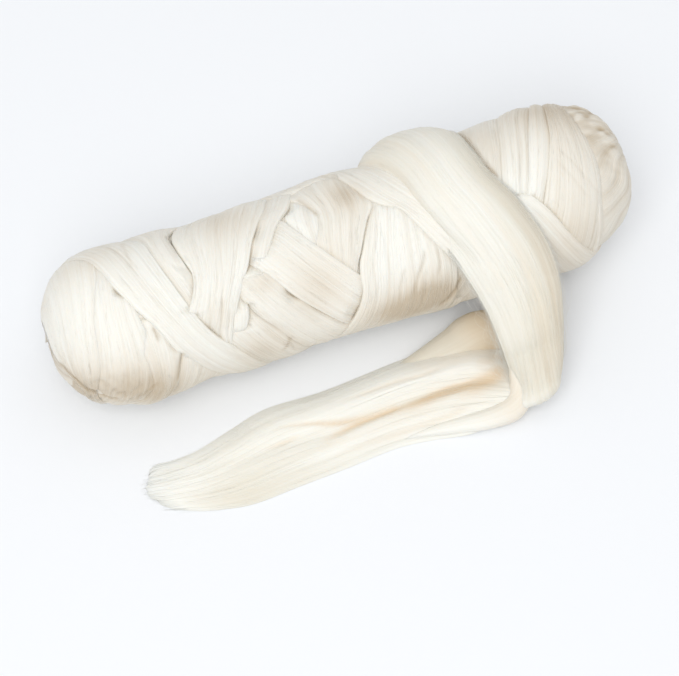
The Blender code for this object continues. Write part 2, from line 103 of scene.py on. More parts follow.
# The windings whose sides are shaped one by one. Where two of them cross, the higher one lies on top.
# Columns: angle, place of the left and of the right side along the roll, height of the left and of the
# right side over the turned form.
SHAPED = {
    "ring_left": (
        (-183, -130, -112, 0.8, 1.2),
        (-120, -134, -110, 0.8, 1.4),
        (-60, -138, -107.5, 0.8, 1.6),
        (-14, -138.6, -110, 0.8, 1.7),
        (25, -138.5, -117, 0.8, 1.7),
        (50, -138, -119.5, 0.8, 1.7),
        (71, -136.2, -122, 1, 1.7),
        (85, -132, -124, 1.4, 1.7),
        (100, -130.5, -124, 1.4, 1.6),
        (121, -129, -121, 1.2, 1.4),
        (150, -129, -116, 0.8, 1.2),
        (183, -130, -112, 0.8, 1.2),
    ),
    "inner_first": (
        (-80, -112, -94, 0.2, 0.2),
        (-20, -114, -98, 0.9, 0.8),
        (25, -121, -99, 1.1, 1),
        (44, -123.5, -97, 1.2, 1),
        (62, -125.5, -96, 1.2, 1),
        (85, -128, -99, 1.1, 0.8),
        (120, -130, -108, 0.9, 0.6),
        (165, -132, -118, 0.4, 0.4),
    ),
    "inner_second": (
        (28, -106, -84, 0.4, 0.4),
        (50, -104, -83, 1, 1),
        (66, -102, -84.5, 1.7, 1.2),
        (85, -101.3, -87.8, 2, 1.2),
        (96, -103.5, -90, 2.1, 1.2),
        (120, -110.5, -96, 1.8, 1),
        (160, -121, -105, 0.8, 0.8),
    ),
    "inner_third": (
        (46, -92, -66, 0, 0),
        (66, -87.5, -62, 0.4, 0.4),
        (93, -92.5, -66, 0.5, 0.3),
        (120, -99, -70, 0.4, 0.3),
        (160, -109, -80, 0.2, 0.2),
    ),
    "wide_rise": (
        (-140, -139, -117, 1.2, 1),
        (-100, -134, -108, 2, 1.6),
        (-60, -123, -94, 2.6, 2),
        (-30, -113.5, -85.6, 3, 2.4),
        (-15, -110.2, -84.8, 3.2, 2.6),
        (2, -107.2, -83, 3.3, 2.8),
        (12, -104.4, -81.2, 3.4, 2.8),
        (24, -100.6, -78.8, 3.4, 2.9),
        (37, -95.2, -75.6, 3.4, 3.4),
        (48, -91.8, -72.6, 3.4, 4.2),
        (60, -88, -68, 3.4, 4.4),
        (72, -82.6, -61.8, 3.4, 4.2),
        (89, -75, -55, 3.2, 3.8),
        (118, -63, -45.4, 2.6, 3),
        (160, -47, -30, 1, 1),
    ),
    "wide_rise_inner": (
        (-100, -112, -78, 1, 1),
        (-60, -97, -66, 1.8, 1.8),
        (-30, -89, -74.8, 2.2, 2.8),
        (-10, -87, -74.6, 2.4, 3.2),
        (5, -86, -72.6, 2.4, 3.1),
        (15, -84, -70.6, 2.2, 2.6),
        (30, -80, -68, 1.6, 1.4),
        (45, -76, -64, 0.6, 0.6),
    ),
    "wide_upright": (
        (-150, -36, -4, 0.8, 0.8),
        (-100, -52, -16, 1.6, 1.6),
        (-60, -65, -24, 2, 2.2),
        (-29, -74, -30, 2.3, 2.8),
        (-12, -75, -36.5, 2.6, 3.2),
        (0, -73.5, -41.2, 3, 3.6),
        (10, -71.8, -44.4, 3.6, 3.8),
        (18, -72.4, -46.9, 4, 3.8),
        (27, -74.8, -50.6, 4.1, 3.7),
        (35, -78, -53.8, 3.7, 3.6),
        (43, -81, -56.4, 2.8, 3.4),
        (54, -84, -58.6, 1.8, 2.9),
        (66, -86, -60.4, 1, 2.2),
        (80, -88, -63, 0.4, 0.8),
    ),
    "narrow_upright": (
        (-70, -27, -10, 1.2, 1.2),
        (-29, -34, -18, 2, 2.4),
        (-13, -39, -25, 2.4, 2.9),
        (-3, -43, -29.8, 2.6, 3),
        (8, -46, -34, 2.6, 3),
        (17, -49, -36.9, 2.2, 2.7),
        (27, -53, -42, 1.4, 1.7),
        (40, -57, -46, 0.2, 0.2),
    ),
    "high_rise": (
        (-215, -133, -110, 0.6, 0.6),
        (-160, -112, -89, 1.6, 1.6),
        (-110, -90, -68, 1.8, 1.8),
        (-60, -64, -44, 1, 1),
        (-30, -58, -34, 0.8, 1),
        (-13, -52, -25.8, 1.2, 1.9),
        (0, -50.6, -21.2, 1.8, 2.7),
        (11, -48.8, -17, 2.3, 3.3),
        (20, -44.8, -13.2, 2.9, 3.6),
        (30, -39.2, -8.6, 3.4, 3.6),
        (46, -32.2, -0.6, 3.6, 3.2),
        (57, -26.6, 5, 3.5, 2.4),
        (67, -21.2, 9, 3.4, 2),
        (89, -9.4, 18, 2.8, 1.6),
        (120, 5, 30, 1.6, 1.2),
        (165, 24, 48, 0.6, 0.6),
    ),
    "middle_rise": (
        (4, -62, -46, 0.2, 0.4),
        (17, -60, -42, 0.8, 1.4),
        (30, -57, -36, 1.6, 2),
        (41, -53.6, -30, 2.3, 2.2),
        (50, -50.6, -25, 2.6, 2.2),
        (60, -46.2, -19.6, 2.7, 2),
        (68, -42.2, -16, 2.7, 1.8),
        (89, -34.4, -4, 2.5, 1.2),
        (104, -29, 4, 2.2, 1),
        (130, -18, 14, 1.4, 0.8),
        (165, -2, 28, 0.5, 0.5),
    ),
    "low_rise": (
        (36, -72, -50, 0.2, 0.4),
        (50, -71, -46.5, 1, 1.4),
        (61, -68.6, -42, 1.4, 1.6),
        (72, -63.4, -37, 1.6, 1.4),
        (89, -57, -30.5, 1.6, 1.2),
        (104, -51.6, -25, 1.5, 1),
        (119, -47, -19, 1.4, 0.8),
        (160, -33, -5, 0.5, 0.5),
    ),
    "knot_end": (
        (33, -58, -52.4, 0.8, 0.8),
        (40, -60.2, -52, 2.4, 2.8),
        (45, -60.8, -51.6, 2.9, 3.4),
        (53, -61.4, -52.4, 2.9, 3.5),
        (61, -62.4, -54.6, 2.6, 2.9),
        (70, -64, -57, 1, 0.8),
    ),
    "short_patch": (
        (-64, -13, 6, 0.6, 0.6),
        (-36, -19, 0, 1, 0.8),
        (-20, -23, -5, 1.5, 1.1),
        (-8, -24.4, -8, 1.9, 1.4),
        (4, -23, -9.5, 2, 1.6),
        (14, -20, -11, 1.6, 1.4),
        (26, -18, -12, 0.4, 0.4),
    ),
    "upright_patch": (
        (-100, -4, 34, 0.4, 0.4),
        (-60, -14, 22, 1.2, 0.9),
        (-38, -19, 14, 2, 1.3),
        (-25, -15.4, 13, 2.5, 1.6),
        (-9, -10.6, 15, 2.6, 1.9),
        (0, -10.8, 15.6, 2.6, 2.4),
        (10, -14.6, 10.6, 2.5, 2.7),
        (21, -16, 6.6, 2.2, 2.8),
        (31, -15, 3.4, 1.6, 2.7),
        (42, -13, 0, 0.8, 1.8),
        (58, -12, -2, 0.2, 0.2),
    ),
    "right_rise": (
        (-215, -78, -54, 0.6, 0.6),
        (-160, -50, -26, 1.8, 1.8),
        (-110, -22, 2, 2, 2),
        (-58, 5, 27, 2.2, 2.2),
        (-38, 6.6, 32, 2.4, 2.2),
        (-17, 10.6, 38, 2.8, 2.4),
        (-6, 13.2, 41, 3, 2.4),
        (4, 19, 44, 2.9, 2.4),
        (11, 25.4, 46, 2.8, 2.4),
        (38, 34.4, 58, 2.6, 2.4),
        (66, 45, 70, 2.4, 2.4),
        (100, 56, 80, 1.8, 1.8),
        (150, 74, 96, 0.6, 0.6),
    ),
    "front_upright": (
        (-40, 16, 44, 0.2, 0.2),
        (-8, 15, 42, 0.8, 1),
        (4, 12.4, 42, 1.5, 1.4),
        (14, 9, 42, 1.9, 1.5),
        (31, 3.6, 42, 2.3, 1.7),
        (40, 0.8, 43, 2.8, 1.9),
        (50, -0.4, 44, 3.6, 2),
        (60, -0.6, 44.4, 4.2, 2.2),
        (69, -2.2, 44, 4.4, 2.4),
        (80, -5.2, 43.4, 4.2, 2.6),
        (92, -9, 43.4, 3.6, 2.6),
        (119, -17, 40, 2.4, 2),
        (165, -28, 30, 0.6, 0.6),
    ),
    "right_turns": (
        (-150, 112, 136, 0.4, 0.4),
        (-100, 100, 126, 1, 1),
        (-52, 87, 106.5, 1.4, 1.5),
        (-19, 80, 97, 1.6, 1.7),
        (0, 76, 92.6, 1.6, 1.7),
        (19, 72, 87.4, 1.6, 1.7),
        (42, 68, 81.6, 1.4, 1.5),
        (70, 62, 74, 0.6, 0.6),
    ),
    "right_narrow": (
        (-140, 122, 136, 0.6, 0.6),
        (-100, 113, 126, 1.4, 1.6),
        (-52, 103.2, 112.4, 2.3, 2.3),
        (-30, 97.8, 107.4, 2.5, 2.4),
        (-6, 91, 102.8, 2.6, 2.4),
        (19, 84.6, 95, 2.6, 2.4),
        (38, 79, 89, 2.4, 2.2),
        (56, 75, 84, 1.6, 1.4),
        (75, 70, 79, 0.4, 0.4),
    ),
    "right_band": (
        (-150, 128, 138, 0.8, 0.6),
        (-100, 119, 128, 2, 1.4),
        (-52, 109.5, 121, 3.2, 2.2),
        (-30, 106, 118.6, 3.4, 2.4),
        (-6, 101.6, 119, 3.6, 2.6),
        (7, 97.8, 119.2, 3.6, 2.6),
        (19, 94, 119.6, 3.6, 2.6),
        (38, 88, 118.6, 3.4, 2.6),
        (60, 82, 114.6, 2.8, 2.4),
        (90, 74, 110, 2.2, 2.2),
        (130, 63, 98, 1.6, 1.6),
        (180, 50, 84, 1.4, 1.4),
        (240, 34, 66, 1, 1),
        (290, 22, 54, 0.2, 0.2),
    ),
    "right_low_rise": (
        (18, 62, 78, 1.6, 1.6),
        (34, 66, 86, 3.2, 3.2),
        (43, 69, 90.2, 3.6, 3.7),
        (62, 75, 97.2, 3.6, 3.8),
        (79, 82, 104.2, 3.4, 3.6),
        (100, 90, 112, 2.8, 3),
        (140, 104, 126, 1.4, 1.4),
        (175, 116, 138, 0.4, 0.4),
    ),
    "right_first": (
        (-150, 86, 114, 0.2, 0.2),
        (-100, 74, 103, 0.7, 0.7),
        (-52, 60, 92, 1, 1),
        (-19, 54, 86, 1.1, 1.1),
        (0, 50, 82, 1.1, 1.1),
        (30, 45, 75, 0.8, 0.8),
        (52, 41, 68, 0.2, 0.2),
    ),
}

# Straight windings, mostly at the back. Columns: where the middle crosses the top, how far it moves for
# each degree, the width, the two angles it runs between and its height.
STRAIGHT = {
    "ring_right": (110, -0.02, 16, -183, 183, 0.9),
    "back_fall_first": (-32, -0.25, 25, 116, 322, 1.2),
    "back_fall_second": (62, -0.25, 27, 100, 312, 1.4),
    "back_fall_third": (18, -0.25, 22, 150, 300, 0.9),
    "back_rise_first": (-130, 0.38, 27, 126, 334, 2.6),
    "back_rise_second": (-82, 0.38, 25, 118, 304, 2.9),
    "back_rise_third": (-36, 0.38, 24, 122, 296, 2.2),
    "back_rise_fourth": (12, 0.37, 24, 128, 286, 1.7),
}

# The layer of straight windings under the shaped ones.
UNDER_WINDINGS = 9
UNDER_SPACING = 30.0
UNDER_WIDTH = 35.0
UNDER_ADVANCE = -0.25
UNDER_LEVEL = -2.4
UNDER_COARSER = 1.8  # how much coarser its mesh is

# How ivory (0) or beige (1) a winding is, and how deep its bundles of fibre stand.
TONES = {
    "ring_left": (0.22, 1),
    "inner_first": (0.18, 1.2),
    "inner_second": (0.3, 1.1),
    "inner_third": (0.5, 1),
    "wide_rise": (0.2, 0.8),
    "wide_rise_inner": (0.38, 1.2),
    "wide_upright": (0.16, 1.3),
    "narrow_upright": (0.3, 1),
    "high_rise": (0.3, 0.8),
    "middle_rise": (0.42, 0.9),
    "low_rise": (0.35, 0.8),
    "knot_end": (0.12, 0.8),
    "short_patch": (0.1, 0.8),
    "upright_patch": (0.5, 1.4),
    "right_rise": (0.3, 1),
    "front_upright": (0.2, 1.2),
    "right_turns": (0.25, 1.3),
    "right_narrow": (0.14, 1.1),
    "right_band": (0.58, 1),
    "right_low_rise": (0.35, 0.8),
    "right_first": (0.08, 1.1),
}

# Creases along a winding. Columns: angle and place across it (0 left side, 1 right side) where the crease
# starts, the same where it ends, depth and half width.
CREASES = {
    "wide_rise": (
        (-60, 0.52, 6, 0.5, 1.1, 0.8),
        (8, 0.62, 60, 0.74, 0.7, 0.8),
        (40, 0.34, 118, 0.4, 0.6, 0.8),
        (20, 0.16, 80, 0.22, 0.4, 0.7),
    ),
    "wide_upright": (
        (-58, 0.4, 57, 0.66, 0.7, 0.7),
        (-50, 0.62, 40, 0.82, 0.6, 0.6),
        (-20, 0.2, 66, 0.52, 0.7, 0.7),
        (30, 0.6, 80, 0.78, 1.4, 0.7),
        (38, 0.78, 80, 0.9, 1.2, 0.6),
        (-40, 0.8, 10, 0.92, 0.5, 0.6),
    ),
    "upright_patch": (
        (-50, 0.3, 44, 0.22, 0.8, 0.6),
        (-50, 0.52, 44, 0.46, 0.8, 0.6),
        (-30, 0.72, 38, 0.7, 0.8, 0.6),
        (-10, 0.4, 34, 0.36, 0.5, 0.5),
    ),
    "front_upright": (
        (10, 0.14, 80, 0.16, 0.9, 0.7),
        (26, 0.28, 119, 0.3, 0.8, 0.8),
        (40, 0.45, 150, 0.48, 0.7, 0.8),
        (60, 0.66, 140, 0.62, 0.8, 0.8),
        (55, 0.08, 110, 0.1, 0.6, 0.6),
    ),
    "low_rise": (
        (78, 0.92, 106, 0.62, 1, 0.6),
        (88, 0.7, 106, 0.5, 0.8, 0.5),
    ),
    "right_turns": (
        (-70, 0.3, 20, 0.34, 1, 0.7),
        (-70, 0.56, 40, 0.6, 1.1, 0.7),
        (-70, 0.8, 30, 0.8, 0.8, 0.6),
    ),
    "right_band": (
        (-70, 0.24, 4, 0.16, 0.5, 0.7),
        (-20, 0.3, 48, 0.8, 0.55, 0.9),
        (-46, 0.6, 26, 0.86, 0.5, 0.8),
        (-60, 0.84, 10, 0.93, 0.7, 0.7),
    ),
    "ring_left": (
        (-40, 0.5, 60, 0.55, 0.6, 0.7),
        (-30, 0.72, 70, 0.7, 0.6, 0.6),
        (30, 0.4, 84, 0.2, 0.7, 0.6),
        (36, 0.58, 88, 0.42, 0.7, 0.6),
        (40, 0.76, 92, 0.64, 0.7, 0.6),
    ),
    "inner_first": (
        (10, 0.3, 90, 0.26, 0.6, 0.6),
        (20, 0.55, 110, 0.52, 0.6, 0.6),
        (34, 0.75, 110, 0.74, 0.5, 0.6),
    ),
}

# Short grooves on the roll, painted dark inside as painted shade. Columns: depth, half width, darkness of
# the painted shade, and the places as x, angle that the groove runs through.
GROOVES = (
    (0.8, 1.1, 0.8, ((-137, 60), (-134, 72), (-129, 84), (-123, 92), (-116, 98))),
    (0.4, 1.5, 0.95, ((64, -60), (66.4, -42), (66.6, -16), (67.6, -2), (71.6, 13))),
    (0.4, 0.7, 0.45, ((-15.1, -29.8), (-12.3, -17.3), (-9.7, -4.8))),
    (0.5, 0.8, 0.6, ((-95.2, 38.2), (-94.1, 45), (-94.5, 49.9))),
    (0.5, 0.8, 0.65, ((-84.9, 62.8), (-87.4, 72.6), (-89.9, 86.9))),
    (0.5, 0.7, 0.6, ((-108.4, 97), (-102.3, 86.8), (-98.4, 80))),
    (0.2, 0.7, 0.22, ((-95.4, -39.5), (-95.5, -17.2), (-95.2, -4.4))),
    (0.2, 0.7, 0.22, ((-76.2, -29.9), (-75.8, -13.2), (-74.7, -4.8))),
    (0.4, 0.7, 0.6, ((-36, 80.6), (-37.1, 88.2), (-41, 94.8))),
    (0.5, 0.7, 0.3, ((30.7, 43.8), (28.7, 51.9), (25.4, 60.7), (22.6, 72.8))),
    (0.5, 0.8, 0.3, ((36.4, 43.5), (36.2, 55.5), (34.2, 66.1))),
    (0.3, 0.7, 0.2, ((20.2, 52.6), (16.6, 64.8), (14.8, 78.1))),
    (0.2, 0.7, 0.1, ((102, 7.1), (108.9, 26.5), (115.9, 47.3))),
    (0.2, 0.7, 0.1, ((99, 14), (104.5, 30), (109, 45))),
    (0.2, 0.7, 0.15, ((92.6, -35), (87, -1.3), (80.9, 18.5))),
    (0.2, 0.7, 0.15, ((82, -35), (77, -6), (72, 14))),
    (0.9, 1.3, 0.65, ((46, 74), (42.6, 84.8), (39.1, 95.5), (34.8, 102.3))),
)

# Places where the gap beside a winding is deeper and painted darker as painted shade: x, angle, reach and
# how much. A negative amount draws the winding's side out softly instead, with less painted shade down it.
GAPS = (
    (9.5, 6, 9, 1.6),
    (-1, 62, 8, 2.2),
    (-6.5, 80, 5.5, 3.5),
    (-30.6, 45.4, 3.2, 9),
    (-53, 43, 4.5, 3),
    (-51.5, 55, 4, 2.5),
    (-74, 22, 7, 1.8),
    (-76.5, 0, 8, 1.8),
    (-71, 52, 8, 2.4),
    (-105, 9, 3, 4),
    (-45, 10, 4.5, 4),
    (-21.5, -22, 5, 3),
    (-88, 58, 3, 1.5),
    (104, -15, 12, 1.6),
    (52, 40, 8, 3),
    (60, -20, 14, 2),
    (-12, 6, 6, -1.2),
    (-35.5, 16, 5, -1.4),
    (-48, 27, 3.5, -1.2),
    (-61.5, 50, 4, -1.6),
    (-62.5, 64, 5, -1.8),
    (-58, 70, 4, -1.5),
    (-52, 68, 4, -1),
    (-103, 70, 8, -1),
    (-104.5, 50, 8, -1.3),
    (-84.5, 72, 6, -1),
    (-120, 22, 17, -0.9),
    (-47.5, 17, 3, 5),
    (-39, -6, 6, 3),
    (-20, 62, 7, 2.4),
    (-44, 66, 7, 1.8),
    (-29, 80, 7, 1.6),
    (-68, 62, 7, 1.6),
    (90, 42, 12, 1),
    (-17, 72, 6, 1.5),
    (119, -12, 14, -0.9),
    (118.5, 24, 14, -0.9),
    (116, 56, 12, -0.9),
    (-88, 66, 9, -0.5),
)

# Places on the roll painted beiger as painted shade, or paler as painted light where the amount is
# negative: x, angle, reach along x, reach in degrees and how much.
SHADES = (
    (-48, -25, 15, 26, 0.8),
    (-66, 46, 9, 13, 0.5),
    (5, -14, 8, 15, 1),
    (-43, 33, 5, 7, 0.6),
    (-112, 80, 17, 24, 1.4),
    (-96, 90, 12, 22, 0.8),
    (-136, 95, 11, 40, 1.4),
    (14, 85, 16, 19, 1.6),
    (33, 83, 13, 20, 1.5),
    (-49, 82, 12, 17, 0.7),
    (-113, -28, 14, 18, 0.5),
    (87, -30, 12, 26, 0.3),
    (103, -32, 12, 24, 1),
    (71, -20, 9, 26, 0.8),
    (74, 30, 12, 16, -0.5),
    (128, 10, 9, 60, 0.9),
    (118, -20, 8, 26, 0.6),
    (102, 70, 18, 24, 0.6),
    (-19, 47, 14, 22, 0.85),
)

# Places where the wool is crinkled: x, angle, reach along x, reach in degrees and how much.
CRIMPS = (
    (-113, 88, 19, 20, 0.9),
    (52, 82, 9, 14, 0.3),
    (112, -56, 9, 18, 0.3),
)

BUNDLES = ((4.4, 70, 0.1), (1.9, 60, 0.08), (1, 50, 0.08))  # of fibres: width, length and height
LOW_SHADE = 0.7  # painted shade: how much beiger the roll is painted low down in front, where it faces away from the light
TOP_SHADE = 0.24  # painted shade: how much beiger it is painted at the back of its top, where it faces away from the light
SIDE_PAINTED_SHADE = 0.13  # painted shade: how dark the line is painted beside a winding's side
RELIEF_PAINTED_SHADE = 0.5  # painted shade: how much darker the wool is painted for each millimetre that the bundles lie low

LEVEL_MIDDLE = 2.3  # the shaped windings' heights are drawn in towards this one
LEVEL_SPREAD = 0.42  # how much of their distance from it stays
END_DEPTH = 1.6  # how far both ends of a winding sink in
CROWN = 1.0  # how far a winding's middle stands over its sides
SIDE_DEPTH = 1.5  # how far a winding's rounded side goes down
SIDE_RADIUS = 0.9  # width of the rounded side
DRAWN_SIDE = 3.6  # how much wider the rounded side is where it is drawn out softly
CREASE_DEPTH = 0.45  # how far a winding is pressed in beside one laid over it
CREASE_REACH = 0.85  # half the width of the dark line there
CREASE_SLOPE = 0.3  # how fast the pressed-in place rises again
MOST_UNEVEN = 4.5  # how many times deeper than usual a gap gets at most
COVERED_DEPTH = 1.1  # how much further a winding is pressed in right under another one
MOST_PRESSED = 2.6  # how far a winding is pressed in at most
CALM_REACH = 3.5  # how far a side's corners reach into the winding
STEP_DEGREES = 1.8  # size of the windings' mesh round the roll
STEP_ACROSS = 0.62  # size of the windings' mesh across them

# ---------------------------------------------------------------- the loose end

SUNK_SIDE = 3.6  # how far the loose end's left side sinks into the windings
RAIL_LIFT = 3.5  # the loose end's underside over the turned form
SUNK_SHARE = 0.28  # how far across the loose end that reaches

# On the roll: x and angle of the left side, x and angle of the right side, and the thickness.
ON_ROLL = (
    (22, -147, 48, -147, 1.8),
    (20, -127, 51, -127, 3.4),
    (16, -104, 55, -104, 5.4),
    (14.5, -80, 59, -80, 7),
    (15.5, -57, 62, -57, 8),
    (20.5, -34, 64.5, -34, 8.4),
    (26, -12, 66, -12, 8.4),
    (29.5, 9, 69, 9, 8.2),
    (34.5, 28, 76, 28, 8),
)

# Off the roll: x, y, z of the left side and of the right side, how far the middle bows outwards, the
# thickness, where the guiding surface lies in it (1 on the inner face, -1 on the outer face), how high the
# two lobes stand, and where across the valley between them is.
FREE = (
    (41.5, -30.5, 58.5, 82.4, -31.5, 61.5, 2.4, 8, 0.7, 0, 0.5),
    (47, -42, 49.5, 85.2, -42.5, 53.5, 3, 8, 0.2, 0, 0.5),
    (51, -53, 40, 85.8, -52, 44, 3.2, 8.2, 0, 0, 0.5),
    (53, -63.5, 31, 84, -60.5, 35.5, 3.2, 8.4, 0, 0, 0.5),
    (54.6, -67.5, 23, 82.6, -66.5, 28, 3.6, 8.4, 0, 0, 0.5),
    (55.8, -72.5, 16, 80.5, -72.5, 21.5, 5.6, 8.2, 0, 0, 0.5),
    (55.6, -78, 10.5, 77.5, -76, 15, 8, 7.4, 0, 0, 0.5),
    (53, -83.5, 6.5, 75, -74.5, 9, 9.6, 7.2, 0, 0, 0.5),
    (47, -87.5, 3.5, 66, -59, 4, 4, 8.4, -0.6, 0.8, 0.5),
    (32, -89, 0.6, 52, -44.5, 0.8, 0, 10.8, -1, 2.8, 0.48),
    (14, -86, 0, 36, -42, 0, 0, 11, -1, 3, 0.45),
    (-3, -84.5, 0, 14, -42, 0, 0, 10.4, -1, 3, 0.42),
    (-27, -86.5, 0, -24, -45.5, 0, 0, 9.4, -1, 2.5, 0.4),
    (-50, -88, 0, -52, -45.5, 0, 0, 8.2, -1, 1.4, 0.42),
    (-72, -89.5, 0, -71, -50.5, 0, 0, 6.8, -1, 0.6, 0.5),
    (-88, -87, 0, -88, -55.5, 0, 0, 4.2, -1, 0.2, 0.5),
    (-103, -83, 0, -103, -56.5, 0, 0, 2, -1, 0, 0.5),
    (-111.5, -80, 0, -111.5, -56, 0, 0, 0.7, -1, 0, 0.5),
    (-115.5, -76.5, 0, -115.5, -57.5, 0, 0, 0.15, -1, 0, 0.5),
)
SECTIONS = 300  # of the loose end's mesh, along it
ACROSS_TOP = 96  # points across each of its faces
EDGE_THICKNESS = 1.3  # at its sides
THIN_EDGE = 0.15  # at its sides where they are drawn out thin
OUTWARDS = np.array((0.25, -0.75, 0.6)) / np.linalg.norm((0.25, -0.75, 0.6))  # which way it bows
FOLD_X = 56.0  # where along the roll the loose end folds under itself
BAND_ACROSS = 44.0  # over which its bundles are spread

# Creases of the loose end. Columns: which face (the falling part's top is "outer", the lying part's top is
# "inner"), row of the two tables above and place across where the crease starts, the same where it ends,
# depth and half width.
LOOSE_CREASES = (
    ("inner", 18.6, 0.2, 22.4, 0.26, 0.4, 1.3),
    ("inner", 20.4, 0.44, 23.6, 0.5, 0.4, 1.6),
    ("outer", 1, 0.36, 12, 0.3, 0.9, 2.2),
    ("outer", 4, 0.6, 14, 0.62, 0.8, 2.6),
    ("outer", 6, 0.78, 13, 0.84, 0.6, 1.8),
    ("outer", 2, 0.16, 9.6, 0.14, 0.7, 1.4),
    ("outer", 10, 0.12, 15.6, 0.16, 1, 1.3),
    ("outer", 8, 0.46, 15, 0.46, 0.5, 1.4),
)
LOOSE_DEPTHS = {"outer": 0.35, "inner": 0.8}  # how much of these depths each face has

# Creases of the lying part, seen from above, painted dark and amber inside as painted shade. Columns:
# depth, half width, darkness of the painted shade, and the places as x, y that the crease runs through.
# The last two have no depth and are only painted shade on the lying part's far side, under the roll.
FLOOR_CREASES = (
    (0.25, 4.4, 0.68, ((60, -68), (50, -71), (42, -71.6), (34, -71), (24, -70.4))),
    (0.35, 2.6, 0.7, ((46, -71), (29, -69.4), (19.5, -68.9), (4, -69.8), (-10, -69.6))),
    (1, 2, 0.4, ((8, -68.4), (-10, -69.3), (-18, -70), (-31, -72.8), (-40, -74))),
    (0.5, 1.1, 0.5, ((53, -69), (42, -68.4), (30, -67), (20, -66.8), (8, -68), (-8, -69))),
    (0.4, 0.8, 0.6, ((55, -71), (46, -72), (34, -71.8), (20, -70.4), (4, -70.2))),
    (0.3, 0.6, 0.4, ((51, -69), (38, -69.4), (26, -68.2), (10, -68.4))),
    (0.7, 1.1, 0.36, ((-4, -69.2), (-23, -67.5), (-38, -63.5), (-50, -61.5), (-62, -62.5))),
    (0.4, 1, 0.15, ((-42, -67.5), (-52, -68.5), (-64, -68))),
    (0.5, 1.4, 0.12, ((30, -58), (8, -57), (-14, -58), (-30, -55))),
    (0.4, 1.4, 0.08, ((36, -80), (10, -79), (-16, -80), (-44, -82))),
    (0, 10, 0.3, ((72, -57), (56, -53), (42, -50), (24, -49), (4, -49))),
    (0, 5.5, 0.42, ((70, -64), (58, -62), (50, -62), (40, -62.5))),
)

# Places on the loose end painted beiger as painted shade, or paler as painted light where the amount is
# negative: face, row of the tables, place across, reach in rows, reach across and how much.
LOOSE_SHADES = (
    ("outer", 4.5, 0.15, 3, 0.35, 0.5),
    ("outer", 4, 0.6, 2, 0.6, 0.2),
    ("outer", 8, 0.95, 4, 0.25, 1.1),
    ("outer", 12.6, 0.6, 2.6, 0.8, 1),
    ("outer", 15, 0.5, 1.6, 0.8, 0.7),
    ("inner", 18, 0.4, 2.4, 0.18, 0.3),
    ("inner", 17.5, 0.8, 2.6, 0.3, -0.4),
    ("inner", 20.5, 0.85, 2.4, 0.3, -0.35),
    ("inner", 21.6, 0.55, 2, 0.3, 0.1),
    ("inner", 23.4, 0.12, 2.2, 0.3, 0.85),
    ("inner", 24.8, 0.45, 1.6, 0.5, 0.5),
)

# The bundle that curls round inside the fold: x, y, z and half its thickness.
FOLD_BUNDLE = (
    (57.6, -66, 25, 0.6),
    (58.2, -70, 19.8, 2.2),
    (58.6, -73.5, 15.4, 3.6),
    (58.8, -77.5, 11.6, 4.9),
    (57, -82.2, 8.2, 5.6),
    (52, -85.6, 6, 5.7),
    (45, -86.4, 5.2, 5),
    (37, -86, 4.6, 4.4),
    (28, -84.6, 3.8, 3.6),
    (18, -83, 3, 2.6),
    (8, -82, 2.2, 1.2),
    (2, -82, 1.8, 0.4),
)

# The wool that comes out of the fold and lies behind the falling part, in the same columns. It fills the
# shaded hollow under the roll, and is dun and amber there as painted shade of that hollow.
HIDDEN_BUNDLE = (
    (78, -69, 5.5, 0.6),
    (76.5, -64.5, 5.5, 2.6),
    (73.5, -59, 5.2, 4.2),
    (69, -53, 5, 6.2),
    (63, -47.5, 5, 8.8),
    (55.5, -44, 4.8, 10.6),
    (48, -43.5, 3.8, 10.6),
    (40, -45, 2.4, 9.2),
    (29, -46.5, 1.4, 7.2),
    (18, -48, 0.8, 5.2),
    (6, -50, 0.4, 3),
    (-6, -52, 0.3, 0.4),
)

WISP_THINNER = 0.85  # how thick a wisp is beside a strand
TIP_WISPS = 0.2  # how many wisps run past the tip for each one at the sides

# ---------------------------------------------------------------- the stage

TENT_STRENGTH = 0.62  # of the even light from all round
# Soft lamps that face the roll's middle: name, place, size in metres and watts.
LAMPS = (
    ("key", (-1, -1.6, 2.6), 2.4, 50),
    ("top", (0.1, 0, 1.8), 1.8, 5.8),
)
CAMERA_AZIMUTH = -19.424  # degrees to the left of the front
CAMERA_ELEVATION = 60.0
CAMERA_DISTANCE = 1.1  # metres
CAMERA_TARGET = (-0.014898, -0.040843, 0.0355)
CAMERA_LENS = 130.81  # mm, on a sensor 36 mm wide

# ---------------------------------------------------------------- settings


def linear(code):
    """A hex colour in sRGB as linear red, green, blue and alpha."""
    parts = [int(code[i:i + 2], 16) / 255.0 for i in (1, 3, 5)]
    return tuple(c / 12.92 if c <= 0.04045 else ((c + 0.055) / 1.055) ** 2.4 for c in parts) + (1.0,)


def length(name, description, default):
    """A length of the roving that a user would change, in metres."""
    return bpy.props.FloatProperty(name=name, description=description, default=default, unit="LENGTH")


def number_of(name, description, default):
    """A number of strands that a user would change."""
    return bpy.props.IntProperty(name=name, description=description, default=default, min=1)


def colour(name, description, code):
    """A colour that a user would change."""
    return bpy.props.FloatVectorProperty(
        name=name, description=description, subtype="COLOR", size=4, default=linear(code),
    )


class ROVING_PG_sizes(bpy.types.PropertyGroup):
    """Sizes of the roving that a user would change."""

    axis_height: length("Axis height", "Height of the roll's middle over what it lies on", 0.0355)
    core_depth: length("Core depth", "How far the core lies under the turned form", 0.0032)
    strand_radius: length("Strand radius", "Half the thickness of a drawn strand of fibres", 0.000035)
    roll_strands: number_of("Strands on the roll", "How many strands lie on the windings", 7500)
    loose_strands: number_of("Strands on the loose end", "How many strands lie on the loose end", 1400)
    wisps: number_of("Wisps", "How many strands stand off the loose end's sides", 1500)


